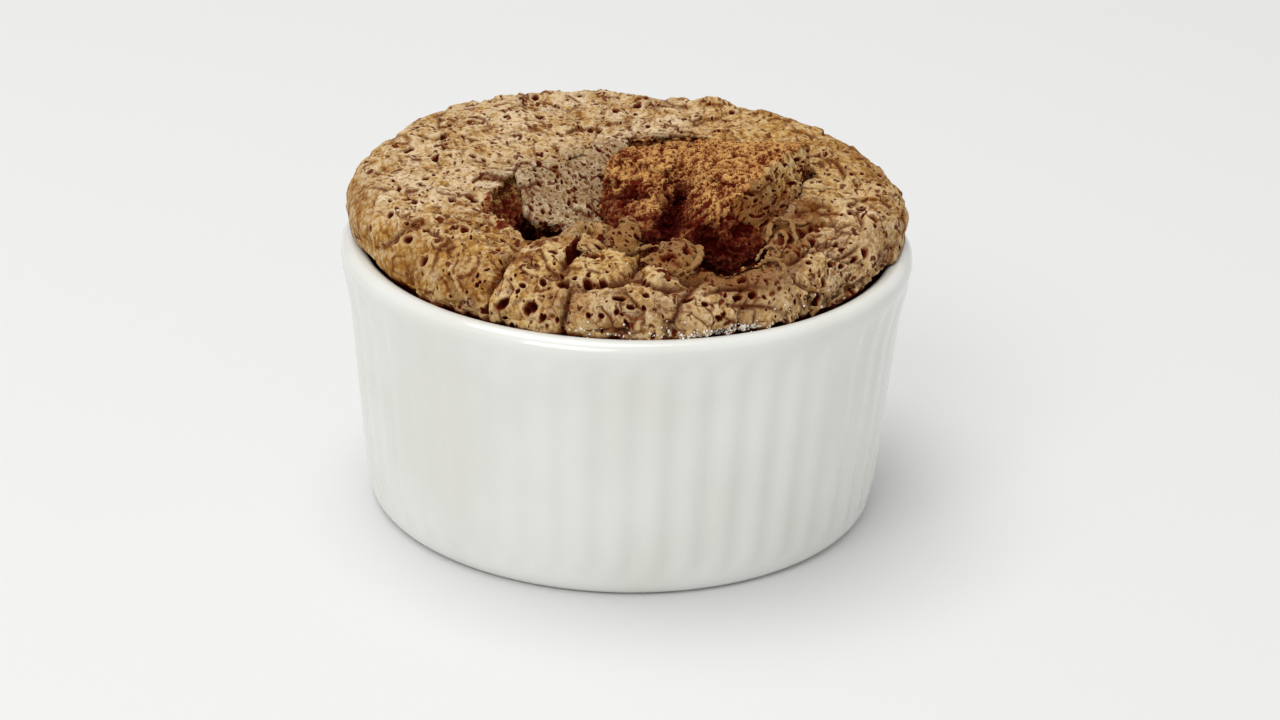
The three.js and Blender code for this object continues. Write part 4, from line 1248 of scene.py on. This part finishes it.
def addCrust(cfg, form, dish):
    # the profile round the ring, in even rows, moved along its normals by the relief; gives the surface
    angle = np.concatenate([np.radians(np.linspace(low, high, count, endpoint=False))
                            for _, low, high, count in cfg["pieces"]])
    profile = crustProfile(angle, cfg, form, dish)
    weight = np.ones(len(profile) - 1)
    weight[-5:] = cfg["bottomShare"]
    grid = evenRows(profile, cfg["rows"], weight)
    points, (x, y, z, planX, planY, torn, below) = grid[..., :3], np.moveaxis(grid, 2, 0)
    turn, radius = np.broadcast_to(angle, torn.shape), np.hypot(x, y)
    out = swell(turn, form)

    share, band, cosine, sine = cfg["calmEdge"]
    calm = share * smooth(*band, crustEdge(turn, form)[0] - radius)
    calm = calm * smooth(*cosine, np.cos(turn)) * smooth(*sine, np.sin(turn))
    calm = np.maximum(calm, zone(x, y, *cfg["calmBack"]))
    puffed = mix(1.0, cfg["puffedSides"], swell(turn, form, "up"))
    total, relief, pore, line, froth = crustRelief(planX, planY, puffed, reliefSet, calm)
    inside, hole = crumbRelief(points, cfg["crumb"])
    height = mix(total, inside, torn) * (1 - 0.8 * smooth(0.5, 1.0, below) * out)
    moved = raised(points, height)

    # painted shade near the tear: the shade value is lowered towards brown and the froth thinned
    least, fade = cfg["nearLeft"]
    near = smooth(*cfg["near"], radius - tearRadius(angle, form)) * mix(least, 1.0, smooth(*fade, x))
    near = near * zone(x, y, *cfg["nearFront"])
    # painted shadow in the gap at the rim: a dark line, a browner shade and fewer pores
    (insideTop, insideFull), (underTop, underFull) = cfg["gapInside"], cfg["gapUnder"]
    gapTop, gapFull = mix(insideTop, underTop, out), mix(insideFull, underFull, out)
    shadow = smooth(gapTop, gapFull, z) * (torn < 0.5)
    line = np.maximum(line, shadow)
    pore = pore - 0.9 * smooth(gapTop - 0.5, gapFull - 0.4, z) * (torn < 0.5) * pore
    shade = crustShade(planX, planY, turn, form, shadeSet) - cfg["nearShade"] * near
    # the front shoulder paled with the froth colour, partly as painted light
    (shares, across), (fadeX, fadeRadius, sine) = cfg["shoulderFrothLight"], cfg["shoulderBand"]
    shoulder = mix(*shares, smooth(*across, planX)) * smooth(*sine, np.sin(turn))
    shoulder = shoulder * smooth(*fadeX, planX) * smooth(*fadeRadius, np.hypot(planX, planY))
    froth = clamped(froth + shoulder) * (1 - zone(planX, planY, *cfg["lessFroth"]))
    froth = froth * (1 - cfg["nearFroth"] * near)
    # painted shade: torn crumb darker the lower it lies, and in the bare patches
    deep = clamped((cfg["deep"][0] - moved[..., 2]) / cfg["deep"][1]) * torn
    bare, ragged = torn, cfg["bareRagged"] * layeredNoise(points, *cfg["bareNoise"])
    for oval in cfg["bare"]:
        shown = smooth(1.1, 0.8, ovalDistance(x, y, oval) + ragged)
        bare, deep = np.maximum(bare, shown), np.maximum(deep, oval[5] * shown)
    shares, fade = cfg["warmBack"]
    toRight = smooth(*cfg["warmRight"], x) * mix(*shares, smooth(*fade, y))
    warm = np.maximum(smooth(*cfg["warmFront"], y), toRight)
    values = pointValues(torn.shape, relief=mix(relief, inside, bare), pore=np.where(bare > 0.5, hole, pore),
                         torn=bare, shade=mix(shade, cfg["gapShade"], shadow), line=line, froth=froth,
                         calm=calm, warm=warm, deep=deep)
    rows, start = cfg["rows"], 0
    for name, _, _, count in cfg["pieces"]:
        pick = np.arange(start, start + count + 1) % len(angle)
        index = np.arange(rows * (count + 1)).reshape(rows, count + 1)
        after = np.roll(index, -1, axis=0)
        faces = np.stack([index[:, :-1], after[:, :-1], after[:, 1:], index[:, 1:]], axis=2)
        faces = faces.reshape(-1, 4).tolist() + [index[:, 0].tolist()[::-1], index[:, -1].tolist()]
        addPiece(f"souffle_crust_{name}", moved[:, pick].reshape(-1, 3), faces, bakedCrust,
                 "souffle", {key: value[:, pick] for key, value in values.items()})
        start += count
    return moved, np.degrees(angle)


crustSurface = addCrust(crustSet, formSet, ramekinSet)


# souffle: torn hollow

hollowSet = {
    "columns": 560, "rows": 130,
    "floor": 39.0, "floorShare": 0.55, "floorRise": 1.2,
    "slope": 3.0, "overlap": 0.9, "underLip": 1.0,
    "bench": {"middle": 192, "half": 36, "width": 5.5, "height": 3.6},  # crumb left standing at the left
    # deep: height and reach of the painted shade in the hollow
    "crumb": 1.2, "deep": (57.2, 10),
}


def addHollow(cfg, form):
    # rows go from the middle of the floor out to the foot of the wall and up to just under the crust's lip
    angle = np.linspace(0, fullTurn, cfg["columns"], endpoint=False)
    rim = tearRadius(angle, form) + cfg["overlap"]
    x, y = rim * np.cos(angle), rim * np.sin(angle)
    rimHeight = np.minimum(crustTop(x, y, form), slabTop(x, y, form)) - cfg["underLip"]
    bench = cfg["bench"]
    away = degreesFrom(np.degrees(angle), bench["middle"])
    benched = 1 - smooth(bench["half"] * 0.6, bench["half"], away)
    up = np.linspace(0, 1, 60)[:, None]
    wallHeight = mix(cfg["floor"], rimHeight, up)
    wallRadius = rim - cfg["slope"] * (1 - up) ** 1.5
    wallRadius = wallRadius - benched * bench["width"] * smooth(0, bench["height"], rimHeight - wallHeight)
    out = np.linspace(0.02, 0.96, 30)[:, None]
    radius = np.vstack([out * wallRadius[0], wallRadius])
    height = np.vstack([cfg["floor"] + cfg["floorRise"] * out ** 6 + 0 * angle, wallHeight])
    points = np.stack([radius * np.cos(angle), radius * np.sin(angle), height], axis=2)
    weight = np.ones(len(radius) - 1)
    weight[:len(out) - 1] = cfg["floorShare"]
    points = evenRows(points, cfg["rows"], weight)
    relief, hole = crumbRelief(points, cfg["crumb"])
    moved = raised(points, relief)
    # painted shade: the crumb darkens towards the floor of the hollow
    deep = clamped((cfg["deep"][0] - moved[..., 2]) / cfg["deep"][1])
    values = pointValues(relief.shape, relief=relief, pore=hole, torn=1, shade=0.5, deep=deep)
    addBody("souffle_hollow", moved, values, {"relief": 0, "pore": 2, "deep": 1})


addHollow(hollowSet, formSet)


# souffle: sunken slab and raised chunk, each a body standing on a torn outline

slabSet = {
    "outline": [(-22, 12), (-18.5, 4.5), (-17.5, -4), (-15.5, -9.5), (-8, -10.2), (-1, -9.5), (1, 4),
                (-1, 21), (-9, 22)],
    "ragged": (0.55, 131), "columns": 600, "rows": 130, "poleGap": 0.015,
    "foot": 39, "sunk": 0.03,
    # sides below the edge: inset, drop and how torn; the last one goes down to the foot
    "side": [(-0.12, 0.25, 0), (-0.1, 0.8, 0.2), (0.25, 1.5, 1), (2.6, 3.2, 1), (3.2, 6.5, 1),
             (2.6, None, 1)],
    "sideShare": 0.4,
    # deep: painted shade on the torn sides below a height
    "amount": 0.35, "crumb": 0.8, "froth": (0.05, 0.4), "deep": (53.0, 6),
}

chunkSet = {
    "outline": [(30.2, 9), (28.0, -3), (24.6, -13), (20.2, -22), (13.5, -26),
                (3, -21.5), (-3.5, -14), (-5, -2), (-3, 8), (14, 12)],
    "ragged": (0.7, 151), "columns": 600, "rows": 160, "poleGap": 0.012,
    "foot": 38, "spread": 0.985, "sideShare": 0.4,
    # place in plan and height of the ridge between the crust face and the crumb top
    "ridge": [(8, -23.4, 54.4), (14, -18.8, 56.8), (19.4, -12.6, 59.6), (24.8, -2, 60.9), (29.4, 8, 60.0)],
    "ridgeLength": 38, "faceRun": 4.4, "faceFoot": 52.6, "footRun": 4.5, "footDrop": 2.8, "topSlope": 0.06,
    "rounding": 2.6, "slitStretch": 1.9,
    "pockets": [(13.2, -22.4, 2.0, 3.6), (17.5, -24, 1.6, 1.6)],    # place in plan, radius and depth
    "crevices": [([(9, -5), (7.5, -13), (6, -22)], 4.6, 3.2),       # path, depth and width
                 ([(-4, -3), (2, -6.5), (8, -7)], 1.4, 1.6)],
    "creviceRagged": 0.9,
    # where the crust gives way to crumb: at the ridge, below the face, in patches and at the low end, each as
    # how much raggedness moves it and the fade; then the shade below the face and the edge of a pocket
    "ridgeTorn": (1.1, (0.5, -0.3)), "footTorn": (1.2, 1.6, (-0.6, 0.6)), "patchTorn": (0.7, (0.5, 0.75)),
    "lowTorn": ((0.5, 0.24), 0.3), "footCleft": (0.45, (0.5, 3.0)), "pocketEdge": (1.3, 0.5),
    "tornNoise": (2.2, 171, 3, 0.6), "patchNoise": (3.4, 176, 3, 0.6),
    "amount": 0.3, "crumb": 1.1, "froth": 0.3,
    # painted shade on the crumb: height where it starts and over how much, patches of it, clefts, low left
    # end
    "deep": (59.0, 9.5), "shadePatchNoise": (3.4, 181, 3, 0.6), "shadePatchStretch": (0.6, 1, 1.4), "shadePatches": 1.2,
    "shadePatchDeep": (0.5, (0.15, 0.5)), "cleftDeep": 0.75, "lowEnd": (0.3, (24, 12), (9, 2)), "deepest": 1.05,
    "shade": (0.7, (12, 38)), "faceShade": (0.4, (2, 8)),
}


def roundOutline(points, columns, raggedness, seed):
    # a closed outline in even steps, its corners eased and its edge torn
    points = np.array(points, float)
    closed = np.vstack([points, points[:1]])
    length = np.append(0, np.cumsum(np.linalg.norm(np.diff(closed, axis=0), axis=1)))
    at = np.linspace(0, length[-1], columns, endpoint=False)
    line = np.stack([np.interp(at, length, closed[:, k]) for k in (0, 1)], axis=1)
    reach = max(1, int(1.2 / (length[-1] / columns)))
    for _ in range(2):
        line = sum(np.roll(line, shift, axis=0) for shift in range(-reach, reach + 1)) / (2 * reach + 1)
    shift = [raggedness * layeredNoise(inPlan(*line.T), 2.4, seed + k, 3, 0.6) for k in (0, 7)]
    line = line + np.stack(shift, axis=1)
    area = np.sum(line[:, 0] * np.roll(line[:, 1], -1) - np.roll(line[:, 0], -1) * line[:, 1])
    return line if area > 0 else line[::-1]


def plateRows(cfg, count):
    # the outline, its middle, each row's share of the way out, and the places in plan from middle to outline
    line = roundOutline(cfg["outline"], cfg["columns"], *cfg["ragged"])
    middle = line.mean(axis=0)
    out = np.linspace(cfg["poleGap"], 1, count)
    return line, middle, out, middle + out[:, None, None] * (line - middle)


def addSlab(cfg, form):
    # crust plate: from a pole at its middle out over the bent top, round the torn edge and back underneath
    line, middle, _, plan = plateRows(cfg, 90)
    top = slabTop(plan[..., 0], plan[..., 1], form) - cfg["sunk"]
    edge = top[-1]
    inward = (middle - line) / np.linalg.norm(middle - line, axis=1, keepdims=True)
    toFoot = edge.mean() - cfg["foot"]
    side = [np.column_stack([line + inset * inward, np.maximum(edge - (drop or toFoot), cfg["foot"]),
                             np.full(len(line), torn)]) for inset, drop, torn in cfg["side"]]
    profile = np.concatenate([np.dstack([plan, top, 0 * top]), side])
    weight = np.ones(len(profile) - 1)
    weight[-2:] = cfg["sideShare"]
    grid = evenRows(profile, cfg["rows"], weight)
    points, (x, y, _, torn) = grid[..., :3], np.moveaxis(grid, 2, 0)
    total, relief, pore, line, froth = crustRelief(x, y, np.full(x.shape, cfg["amount"]), slabRelief)
    inside, hole = crumbRelief(points, cfg["crumb"])
    moved = raised(points, mix(total, inside, smooth(0.2, 0.8, torn)))
    shade = crustShade(x, y, np.arctan2(y, x), form, shadeSet)
    # painted shade on the torn sides, darker lower down
    deep = clamped((cfg["deep"][0] - moved[..., 2]) / cfg["deep"][1]) * torn
    least, more = cfg["froth"]
    addBody("souffle_slab", moved, pointValues(
        x.shape, relief=mix(relief, inside, torn), pore=np.where(torn > 0.5, hole, pore), torn=torn,
        shade=shade, line=line, froth=least + more * froth, deep=deep))


def chunkTop(x, y, inset, cfg):
    # a ridge, a steep crust face on its right and a crumb top that falls gently to its left, cut by crevices.
    # Gives height, how torn it is, the place along and across the ridge, and how near a crevice or pocket.
    away, side, share, ridge = chainDistance(x, y, cfg["ridge"])
    ragged = layeredNoise(inPlan(x, y), *cfg["tornNoise"])
    onFace, run = side < 0, cfg["faceRun"]
    face = mix(ridge, cfg["faceFoot"], clamped(away / run))
    face = face - cfg["footDrop"] * clamped((away - run) / cfg["footRun"])
    rounded = cfg["rounding"] * (1 - np.sqrt(1 - (1 - clamped(inset / cfg["rounding"])) ** 2))
    top = ridge - cfg["topSlope"] * away - rounded * clamped(away / run)
    cleft = np.zeros(x.shape)
    for path, depth, width in cfg["crevices"]:
        beside = chainDistance(x, y, path)[0] + cfg["creviceRagged"] * ragged
        groove = clamped(1 - beside / width) ** 1.2
        top = top - depth * groove
        cleft = np.maximum(cleft, groove)
    reach, fade = cfg["ridgeTorn"]
    torn = smooth(*fade, np.where(onFace, away, -away) + reach * ragged)
    foot, reach, fade = cfg["footTorn"]
    torn = np.maximum(torn, onFace * smooth(*fade, away - foot * run + reach * ragged))
    patches = layeredNoise(inPlan(x, y), *cfg["patchNoise"])
    (fade, down), (reach, patchFade), (dark, below) = cfg["lowTorn"], cfg["patchTorn"], cfg["footCleft"]
    lower = smooth(*fade, share) + down * away / run
    torn = np.maximum(torn, onFace * smooth(*patchFade, reach * patches + lower))
    cleft = np.maximum(cleft, dark * onFace * smooth(*below, away))
    for pocketX, pocketY, radius, depth in cfg["pockets"]:
        edge, reach = cfg["pocketEdge"]
        pocket = clamped(edge - np.hypot(x - pocketX, y - pocketY) / radius + reach * ragged)
        face, cleft = face - depth * smooth(0, 1, pocket), np.maximum(cleft, pocket)
    across = np.where(onFace, cfg["slitStretch"], 1.0) * away
    return np.where(onFace, face, top), torn, share * cfg["ridgeLength"], across, cleft


def addChunk(cfg):
    # a pole at its middle, out over the top to the torn outline, then down the sides to its root
    line, middle, out, plan = plateRows(cfg, 160)
    inset = (1 - out)[:, None] * np.linalg.norm(line - middle, axis=1)
    top = np.dstack(chunkTop(plan[..., 0], plan[..., 1], inset, cfg))
    down = np.linspace(0, 1, 24)[1:, None]
    sidePlan = middle + mix(1.0, cfg["spread"], down)[..., None] * (line - middle)
    side = np.broadcast_to(top[-1], (len(down), *top[-1].shape)).copy()
    side[..., 0] = mix(top[-1, :, 0], cfg["foot"], down)
    side[..., 1] = 1
    profile = np.concatenate([np.dstack([plan, top]), np.dstack([sidePlan, side])])
    weight = np.ones(len(profile) - 1)
    weight[-12:] = cfg["sideShare"]
    grid = evenRows(profile, cfg["rows"], weight)
    points, (torn, along, across, cleft) = grid[..., :3], np.moveaxis(grid[..., 3:], 2, 0)
    torn = smooth(0.3, 0.7, torn)
    amount = np.full(torn.shape, cfg["amount"])
    total, relief, pore, line, froth = crustRelief(along, across, amount, faceRelief)
    inside, hole = crumbRelief(points, cfg["crumb"])
    moved = raised(points, mix(total, inside, torn))
    # painted shade on the torn crumb: darker lower down, in patches, in clefts and at the low left end
    shadePatches = layeredNoise(points * cfg["shadePatchStretch"], *cfg["shadePatchNoise"])
    deep = (cfg["deep"][0] - moved[..., 2]) / cfg["deep"][1] * (1 + cfg["shadePatches"] * shadePatches)
    deep = deep + cfg["cleftDeep"] * cleft + cfg["shadePatchDeep"][0] * smooth(*cfg["shadePatchDeep"][1], shadePatches)
    deep = np.clip(deep + zone(along, across, *cfg["lowEnd"]), 0, cfg["deepest"]) * torn
    # the crust face greyer towards its right end, and browner away from the ridge as painted shade
    (most, fade), (less, fall) = cfg["shade"], cfg["faceShade"]
    shade = clamped(most * smooth(*fade, along) - less * smooth(*fall, across))
    addBody("souffle_chunk", moved, pointValues(
        torn.shape, relief=mix(relief, inside, torn), pore=np.where(torn > 0.5, hole, pore), torn=torn,
        shade=shade, line=line, froth=cfg["froth"] * froth, warm=1, deep=deep))


addSlab(slabSet, formSet)
addChunk(chunkSet)


# souffle: torn skins, flaps, rolled lips and strands round the hollow

# path through space, half widths and half thicknesses along it, roll in degrees, curl of the edges,
# raggedness, and where they differ from the rest: shade, and holes in plan as place, half length, half width
skinStrips = {
    "cragMiddle": {
        "path": [(-0.4, -29.0, 53.6), (-0.4, -26.6, 55.3), (0.2, -24.2, 56.6), (0.7, -21.8, 57.6)],
        "width": [2.4, 2.8, 2.2, 0.3], "thickness": [1.0, 1.5, 1.1, 0.3], "roll": 0, "curl": -0.1,
        "ragged": 0.6, "shade": 0.1,
    },
    "cragLeft": {
        "path": [(-4.8, -29.0, 53.6), (-5.6, -27.2, 54.4), (-6.4, -25.4, 54.8), (-6.8, -23.6, 55.0)],
        "width": [2.0, 2.0, 1.2, 0.3], "thickness": [0.8, 1.0, 0.7, 0.25], "roll": 0, "curl": -0.1,
        "ragged": 0.7, "shade": 0.3,
    },
    "flap": {
        "path": [(9.6, -23.4, 54.0), (9.0, -26.0, 54.9), (8.4, -29.4, 55.2), (7.4, -32.8, 54.4),
                 (6.6, -35.0, 53.4)],
        "width": [1.0, 1.9, 2.6, 2.8, 2.6], "thickness": [0.4, 0.5, 0.5, 0.5, 0.4], "roll": 10, "curl": -0.16,
        "ragged": 1.1, "shade": 0.1, "holes": [(7.6, -26.4, 1.2, 0.9), (6.6, -32.4, 1.4, 1.0),
        (9.6, -30.2, 0.7, 1.1), (6.6, -29.2, 0.5, 0.8)],
    },
    "rolledLip": {
        "path": [(10.8, -25.4, 54.2), (11.6, -28.0, 54.9), (11.8, -31.0, 54.6), (10.4, -33.6, 53.8),
                 (8.2, -35.4, 53.0)],
        "width": [0.3, 0.45, 0.55, 0.5, 0.3], "thickness": [0.2, 0.3, 0.35, 0.3, 0.2], "roll": -20,
        "curl": 0.1, "ragged": 0.6,
    },
    "strandA": {
        "path": [(6.6, -23.6, 53.9), (5.6, -25.4, 54.2), (6.2, -27.6, 54.6), (4.6, -30.0, 54.4),
                 (2.4, -32.4, 54.0)],
        "width": [0.4, 0.5, 0.6, 0.5, 0.5], "thickness": [0.25, 0.3, 0.35, 0.3, 0.3], "roll": 0, "curl": 0.1,
        "ragged": 0.7,
    },
    "strandB": {
        "path": [(0.4, -28.6, 54.2), (2.4, -28.0, 54.5), (4.0, -27.4, 54.7), (5.4, -26.8, 54.6)],
        "width": [0.6, 0.4, 0.4, 0.3], "thickness": [0.35, 0.25, 0.25, 0.2], "roll": 0, "curl": 0,
        "ragged": 0.6,
    },
    "loopTop": {
        "path": [(22.8, -20.2, 52.4), (22.9, -16.0, 53.8), (24.4, -12.8, 54.5), (26.2, -14.4, 54.5),
                 (26.7, -17.6, 54.2), (27.2, -20.6, 53.8), (26.0, -23.4, 53.2)],
        "width": [0.3, 0.4, 0.45, 0.4, 0.35, 0.3, 0.25], "thickness": [0.2, 0.22, 0.24, 0.22, 0.2, 0.2, 0.18],
        "roll": 15, "curl": 0.1, "ragged": 0.8,
    },
    "loopInner": {
        "path": [(23.2, -21.8, 52.8), (24.2, -18.0, 53.8), (25.4, -18.4, 54.0), (25.4, -21.6, 53.6),
                 (24.4, -24.4, 53.0)],
        "width": [0.25, 0.3, 0.3, 0.25, 0.22], "thickness": [0.18, 0.2, 0.2, 0.18, 0.16], "roll": -20,
        "curl": 0.1, "ragged": 0.8,
    },
    "loopRight": {
        "path": [(26.0, -13.6, 54.2), (28.0, -14.6, 54.3), (29.6, -12.8, 54.4), (29.8, -10.4, 54.2)],
        "width": [0.3, 0.35, 0.35, 0.25], "thickness": [0.2, 0.2, 0.2, 0.18], "roll": 0, "curl": 0.1,
        "ragged": 0.8,
    },
    "loopLow": {
        "path": [(20.8, -25.6, 52.0), (21.6, -23.2, 53.0), (23.0, -22.4, 53.4), (24.2, -24.4, 53.4),
                 (23.6, -27.0, 53.0), (22.0, -28.0, 52.8)],
        "width": [0.3, 0.35, 0.35, 0.3, 0.3, 0.25], "thickness": [0.18, 0.2, 0.2, 0.2, 0.2, 0.18], "roll": 20,
        "curl": 0.1, "ragged": 0.8,
    },
    "bubbleRim": {
        "path": [(21.7, -29.9, 53.4), (22.5, -32.2, 52.4), (24.6, -31.6, 52.2), (25.0, -29.6, 52.8),
                 (23.6, -28.5, 53.5), (22.0, -28.9, 53.6), (21.7, -30.1, 53.4)],
        "width": [0.25, 0.3, 0.3, 0.3, 0.3, 0.3, 0.25], "thickness": [0.25, 0.3, 0.3, 0.3, 0.3, 0.3, 0.25],
        "roll": 0, "curl": 0, "ragged": 0.3,
    },
}

skinSurface = {
    # the low shade browns the strips by the tear, as painted shade
    "plain": {"shade": 0.14, "holes": []},
    "wide": 1.2,                                # half width from which a strip carries crust and crumb
    "wideSteps": (130, 110), "narrowSteps": (90, 20),
    "endSharp": 12, "endLeast": 0.02,
    "ragNoise": (1.6, 0.7), "waver": 0.25,
    # deep: painted shade on the crumb under the wide strips
    "amount": 0.3, "crumb": 0.5, "froth": 0.25, "edgeFroth": 0.2, "deep": 0.45, "holeDepth": 1.2,
}


def throughPoints(points, count):
    # a smooth curve that passes every point: each stretch is a cubic led by its neighbours
    p = np.array(points, float).reshape(len(points), -1)
    p = np.vstack([2 * p[:1] - p[1:2], p, 2 * p[-1:] - p[-2:-1]])
    at = np.linspace(0, len(points) - 1, count)
    k = np.minimum(at.astype(int), len(points) - 2)
    t = (at - k)[:, None]
    a, b, c, d = p[k], p[k + 1], p[k + 2], p[k + 3]
    bent = (2 * a - 5 * b + 4 * c - d) * t ** 2 + (3 * b - a - 3 * c + d) * t ** 3
    return 0.5 * (2 * b + (c - a) * t + bent)


def strip(cfg, seed):
    # a flattened tube along a path: half width across, half thickness up, curled torn edges, pointed ends
    wide = max(cfg["width"]) > cfg["wide"]
    steps, columns = cfg["wideSteps"] if wide else cfg["narrowSteps"]
    path = throughPoints(cfg["path"], steps)
    width, thickness = (throughPoints(cfg[key], steps)[:, 0] for key in ("width", "thickness"))
    tangent = np.gradient(path, axis=0)
    tangent /= np.linalg.norm(tangent, axis=1, keepdims=True)
    across = np.cross(tangent, [0, 0, 1])
    across /= np.linalg.norm(across, axis=1, keepdims=True)
    up, roll = np.cross(across, tangent), math.radians(cfg["roll"])
    across, up = math.cos(roll) * across + math.sin(roll) * up, math.cos(roll) * up - math.sin(roll) * across
    end = np.clip(1 - abs(np.linspace(-1, 1, steps)) ** cfg["endSharp"], cfg["endLeast"], 1)
    turn = np.linspace(0, fullTurn, columns, endpoint=False)
    reach = (width * end)[:, None] * np.cos(turn)
    size, fade = cfg["ragNoise"]
    flat = path[:, None] + reach[..., None] * across[:, None]
    torn = 1 + cfg["ragged"] * layeredNoise(flat, size, seed, 3, fade)
    path = path + cfg["waver"] * np.stack([layeredNoise(path, 1.4, seed + k, 2) for k in (3, 5, 7)], axis=1)
    lift = (thickness * end)[:, None] * np.sin(turn) + cfg["curl"] * width[:, None] * np.cos(turn) ** 2
    points = path[:, None] + (reach * torn)[..., None] * across[:, None] + lift[..., None] * up[:, None]
    return points, np.broadcast_to(np.sin(turn), reach.shape), wide


def withEnds(value):
    # a grid's rows one after another, then the means of its first and last row, where the poles are
    flat = value.reshape(-1, *value.shape[2:])
    return np.concatenate([flat, value[:1].mean(axis=1), value[-1:].mean(axis=1)])


def addSkins(strips, surface):
    # every strip in one mesh; wide ones carry crust on top and crumb underneath, narrow ones are pale skin
    everything, faces, columns = [], [], {key: [] for key in valueKeys}
    for number, given in enumerate(strips.values()):
        cfg = {**surface, **surface["plain"], **given}
        points, side, wide = strip(cfg, 200 + 10 * number)
        x, y, z = np.moveaxis(points, 2, 0)
        amount = np.full(side.shape, cfg["amount"])
        total, fine, pore, line, froth = crustRelief(x + 0.4 * z, y + 0.6 * z, amount, slabRelief)
        for oval in cfg["holes"]:
            away = ovalDistance(x, y, (*oval, 0)) + 0.3 * softNoise(points, 0.8, 211)
            pore, total = np.minimum(pore, away), total - cfg["holeDepth"] * clamped(1 - away ** 3)
        under = smooth(0.0, -0.5, side) * wide
        inside, hole = crumbRelief(points, cfg["crumb"])
        height = mix(total * 0.8, inside, under) if wide else 0.6 * np.clip(fine, -0.3, 0.25)
        start = sum(len(part) for part in everything)
        faces += [[start + corner for corner in face] for face in gridFaces(*side.shape, 2)]
        everything.append(withEnds(raised(points, height)))
        froth = cfg["froth"] * froth + cfg["edgeFroth"] * smooth(0.35, 0.15, abs(side))
        # crumb under wide strips darkened with painted shade
        values = pointValues(side.shape, relief=mix(fine + 0.3, inside, under), shade=cfg["shade"],
                             pore=np.where(under > 0.5, hole, pore if wide else 2), torn=under, line=line,
                             warm=1, froth=froth, deep=cfg["deep"] * under)
        for key, value in values.items():
            columns[key].append(withEnds(value))
    values = {key: np.concatenate(value) for key, value in columns.items()}
    addPiece("souffle_torn_skins", np.vstack(everything), faces, bakedCrust, "souffle", values)


addSkins(skinStrips, skinSurface)


# sugar on the foot of the front crust and on the rim

sugarSet = {
    "count": 320, "seed": 501, "size": (0.15, 0.4), "lift": 0.5,
    "lowest": 45.3,     # of the crust that grains lie on
    "outwards": 0.05,   # how much a place further out counts as nearer
    # share of the grains, angle they gather round, spread in degrees, height they gather round, spread
    "groups": [(0.68, 292, 5.5, 45.9, 0.3), (0.24, 284, 13, 46.1, 0.4), (0.08, 286, 20, 47.5, 1.0)],
    # angle and radius of the grains on the rim
    "onRim": [(301.0, 45.6), (300.2, 45.2), (296.5, 44.6), (282.0, 44.9), (271.4, 44.7), (263.0, 44.8)],
}


def addSugar(cfg, surface, angles, dish):
    # cut cubes with jittered corners: each sits on the nearest point of the crust at its angle and height
    random = np.random.default_rng(cfg["seed"])
    places = []
    for share, middle, spread, height, heightSpread in cfg["groups"]:
        for _ in range(round(share * cfg["count"])):
            turn, level = random.normal(middle, spread), random.normal(height, heightSpread)
            line = surface[:, np.argmin(degreesFrom(angles, turn))]
            miss = abs(line[:, 2] - level) + 100 * (line[:, 2] <= cfg["lowest"])
            places.append(line[np.argmin(miss - cfg["outwards"] * np.hypot(line[:, 0], line[:, 1]))])
    roll = dish["rollRadius"]
    for turn, radius in cfg["onRim"]:
        off = radius - dish["rimRadius"] + roll
        turn = math.radians(turn)
        places.append([radius * math.cos(turn), radius * math.sin(turn),
                       dish["rimHeight"] - roll + math.sqrt(roll ** 2 - off ** 2)])
    cube = 2 * np.array(list(cellCorners(3)), float) - 1
    sides = [(0, 1, 3, 2), (4, 6, 7, 5), (0, 4, 5, 1), (2, 3, 7, 6), (0, 2, 6, 4), (1, 5, 7, 3)]
    points, faces = [], []
    for number, place in enumerate(places):
        half = random.uniform(*cfg["size"]) / 2
        axes = np.linalg.qr(random.normal(size=(3, 3)))[0]
        axes *= np.sign(np.linalg.det(axes))
        grain = cube * half * random.uniform(0.7, 1.0, 3) * random.uniform(0.75, 1.0, (8, 1))
        points.append(np.array(place) + [0, 0, cfg["lift"] * half] + grain @ axes)
        faces += [[8 * number + corner for corner in side] for side in sides]
    piece = addPiece("sugar_grains", np.vstack(points), faces, sugar, "souffle")
    piece.data.polygons.foreach_set("use_smooth", np.zeros(len(faces), bool))


addSugar(sugarSet, *crustSurface, ramekinSet)
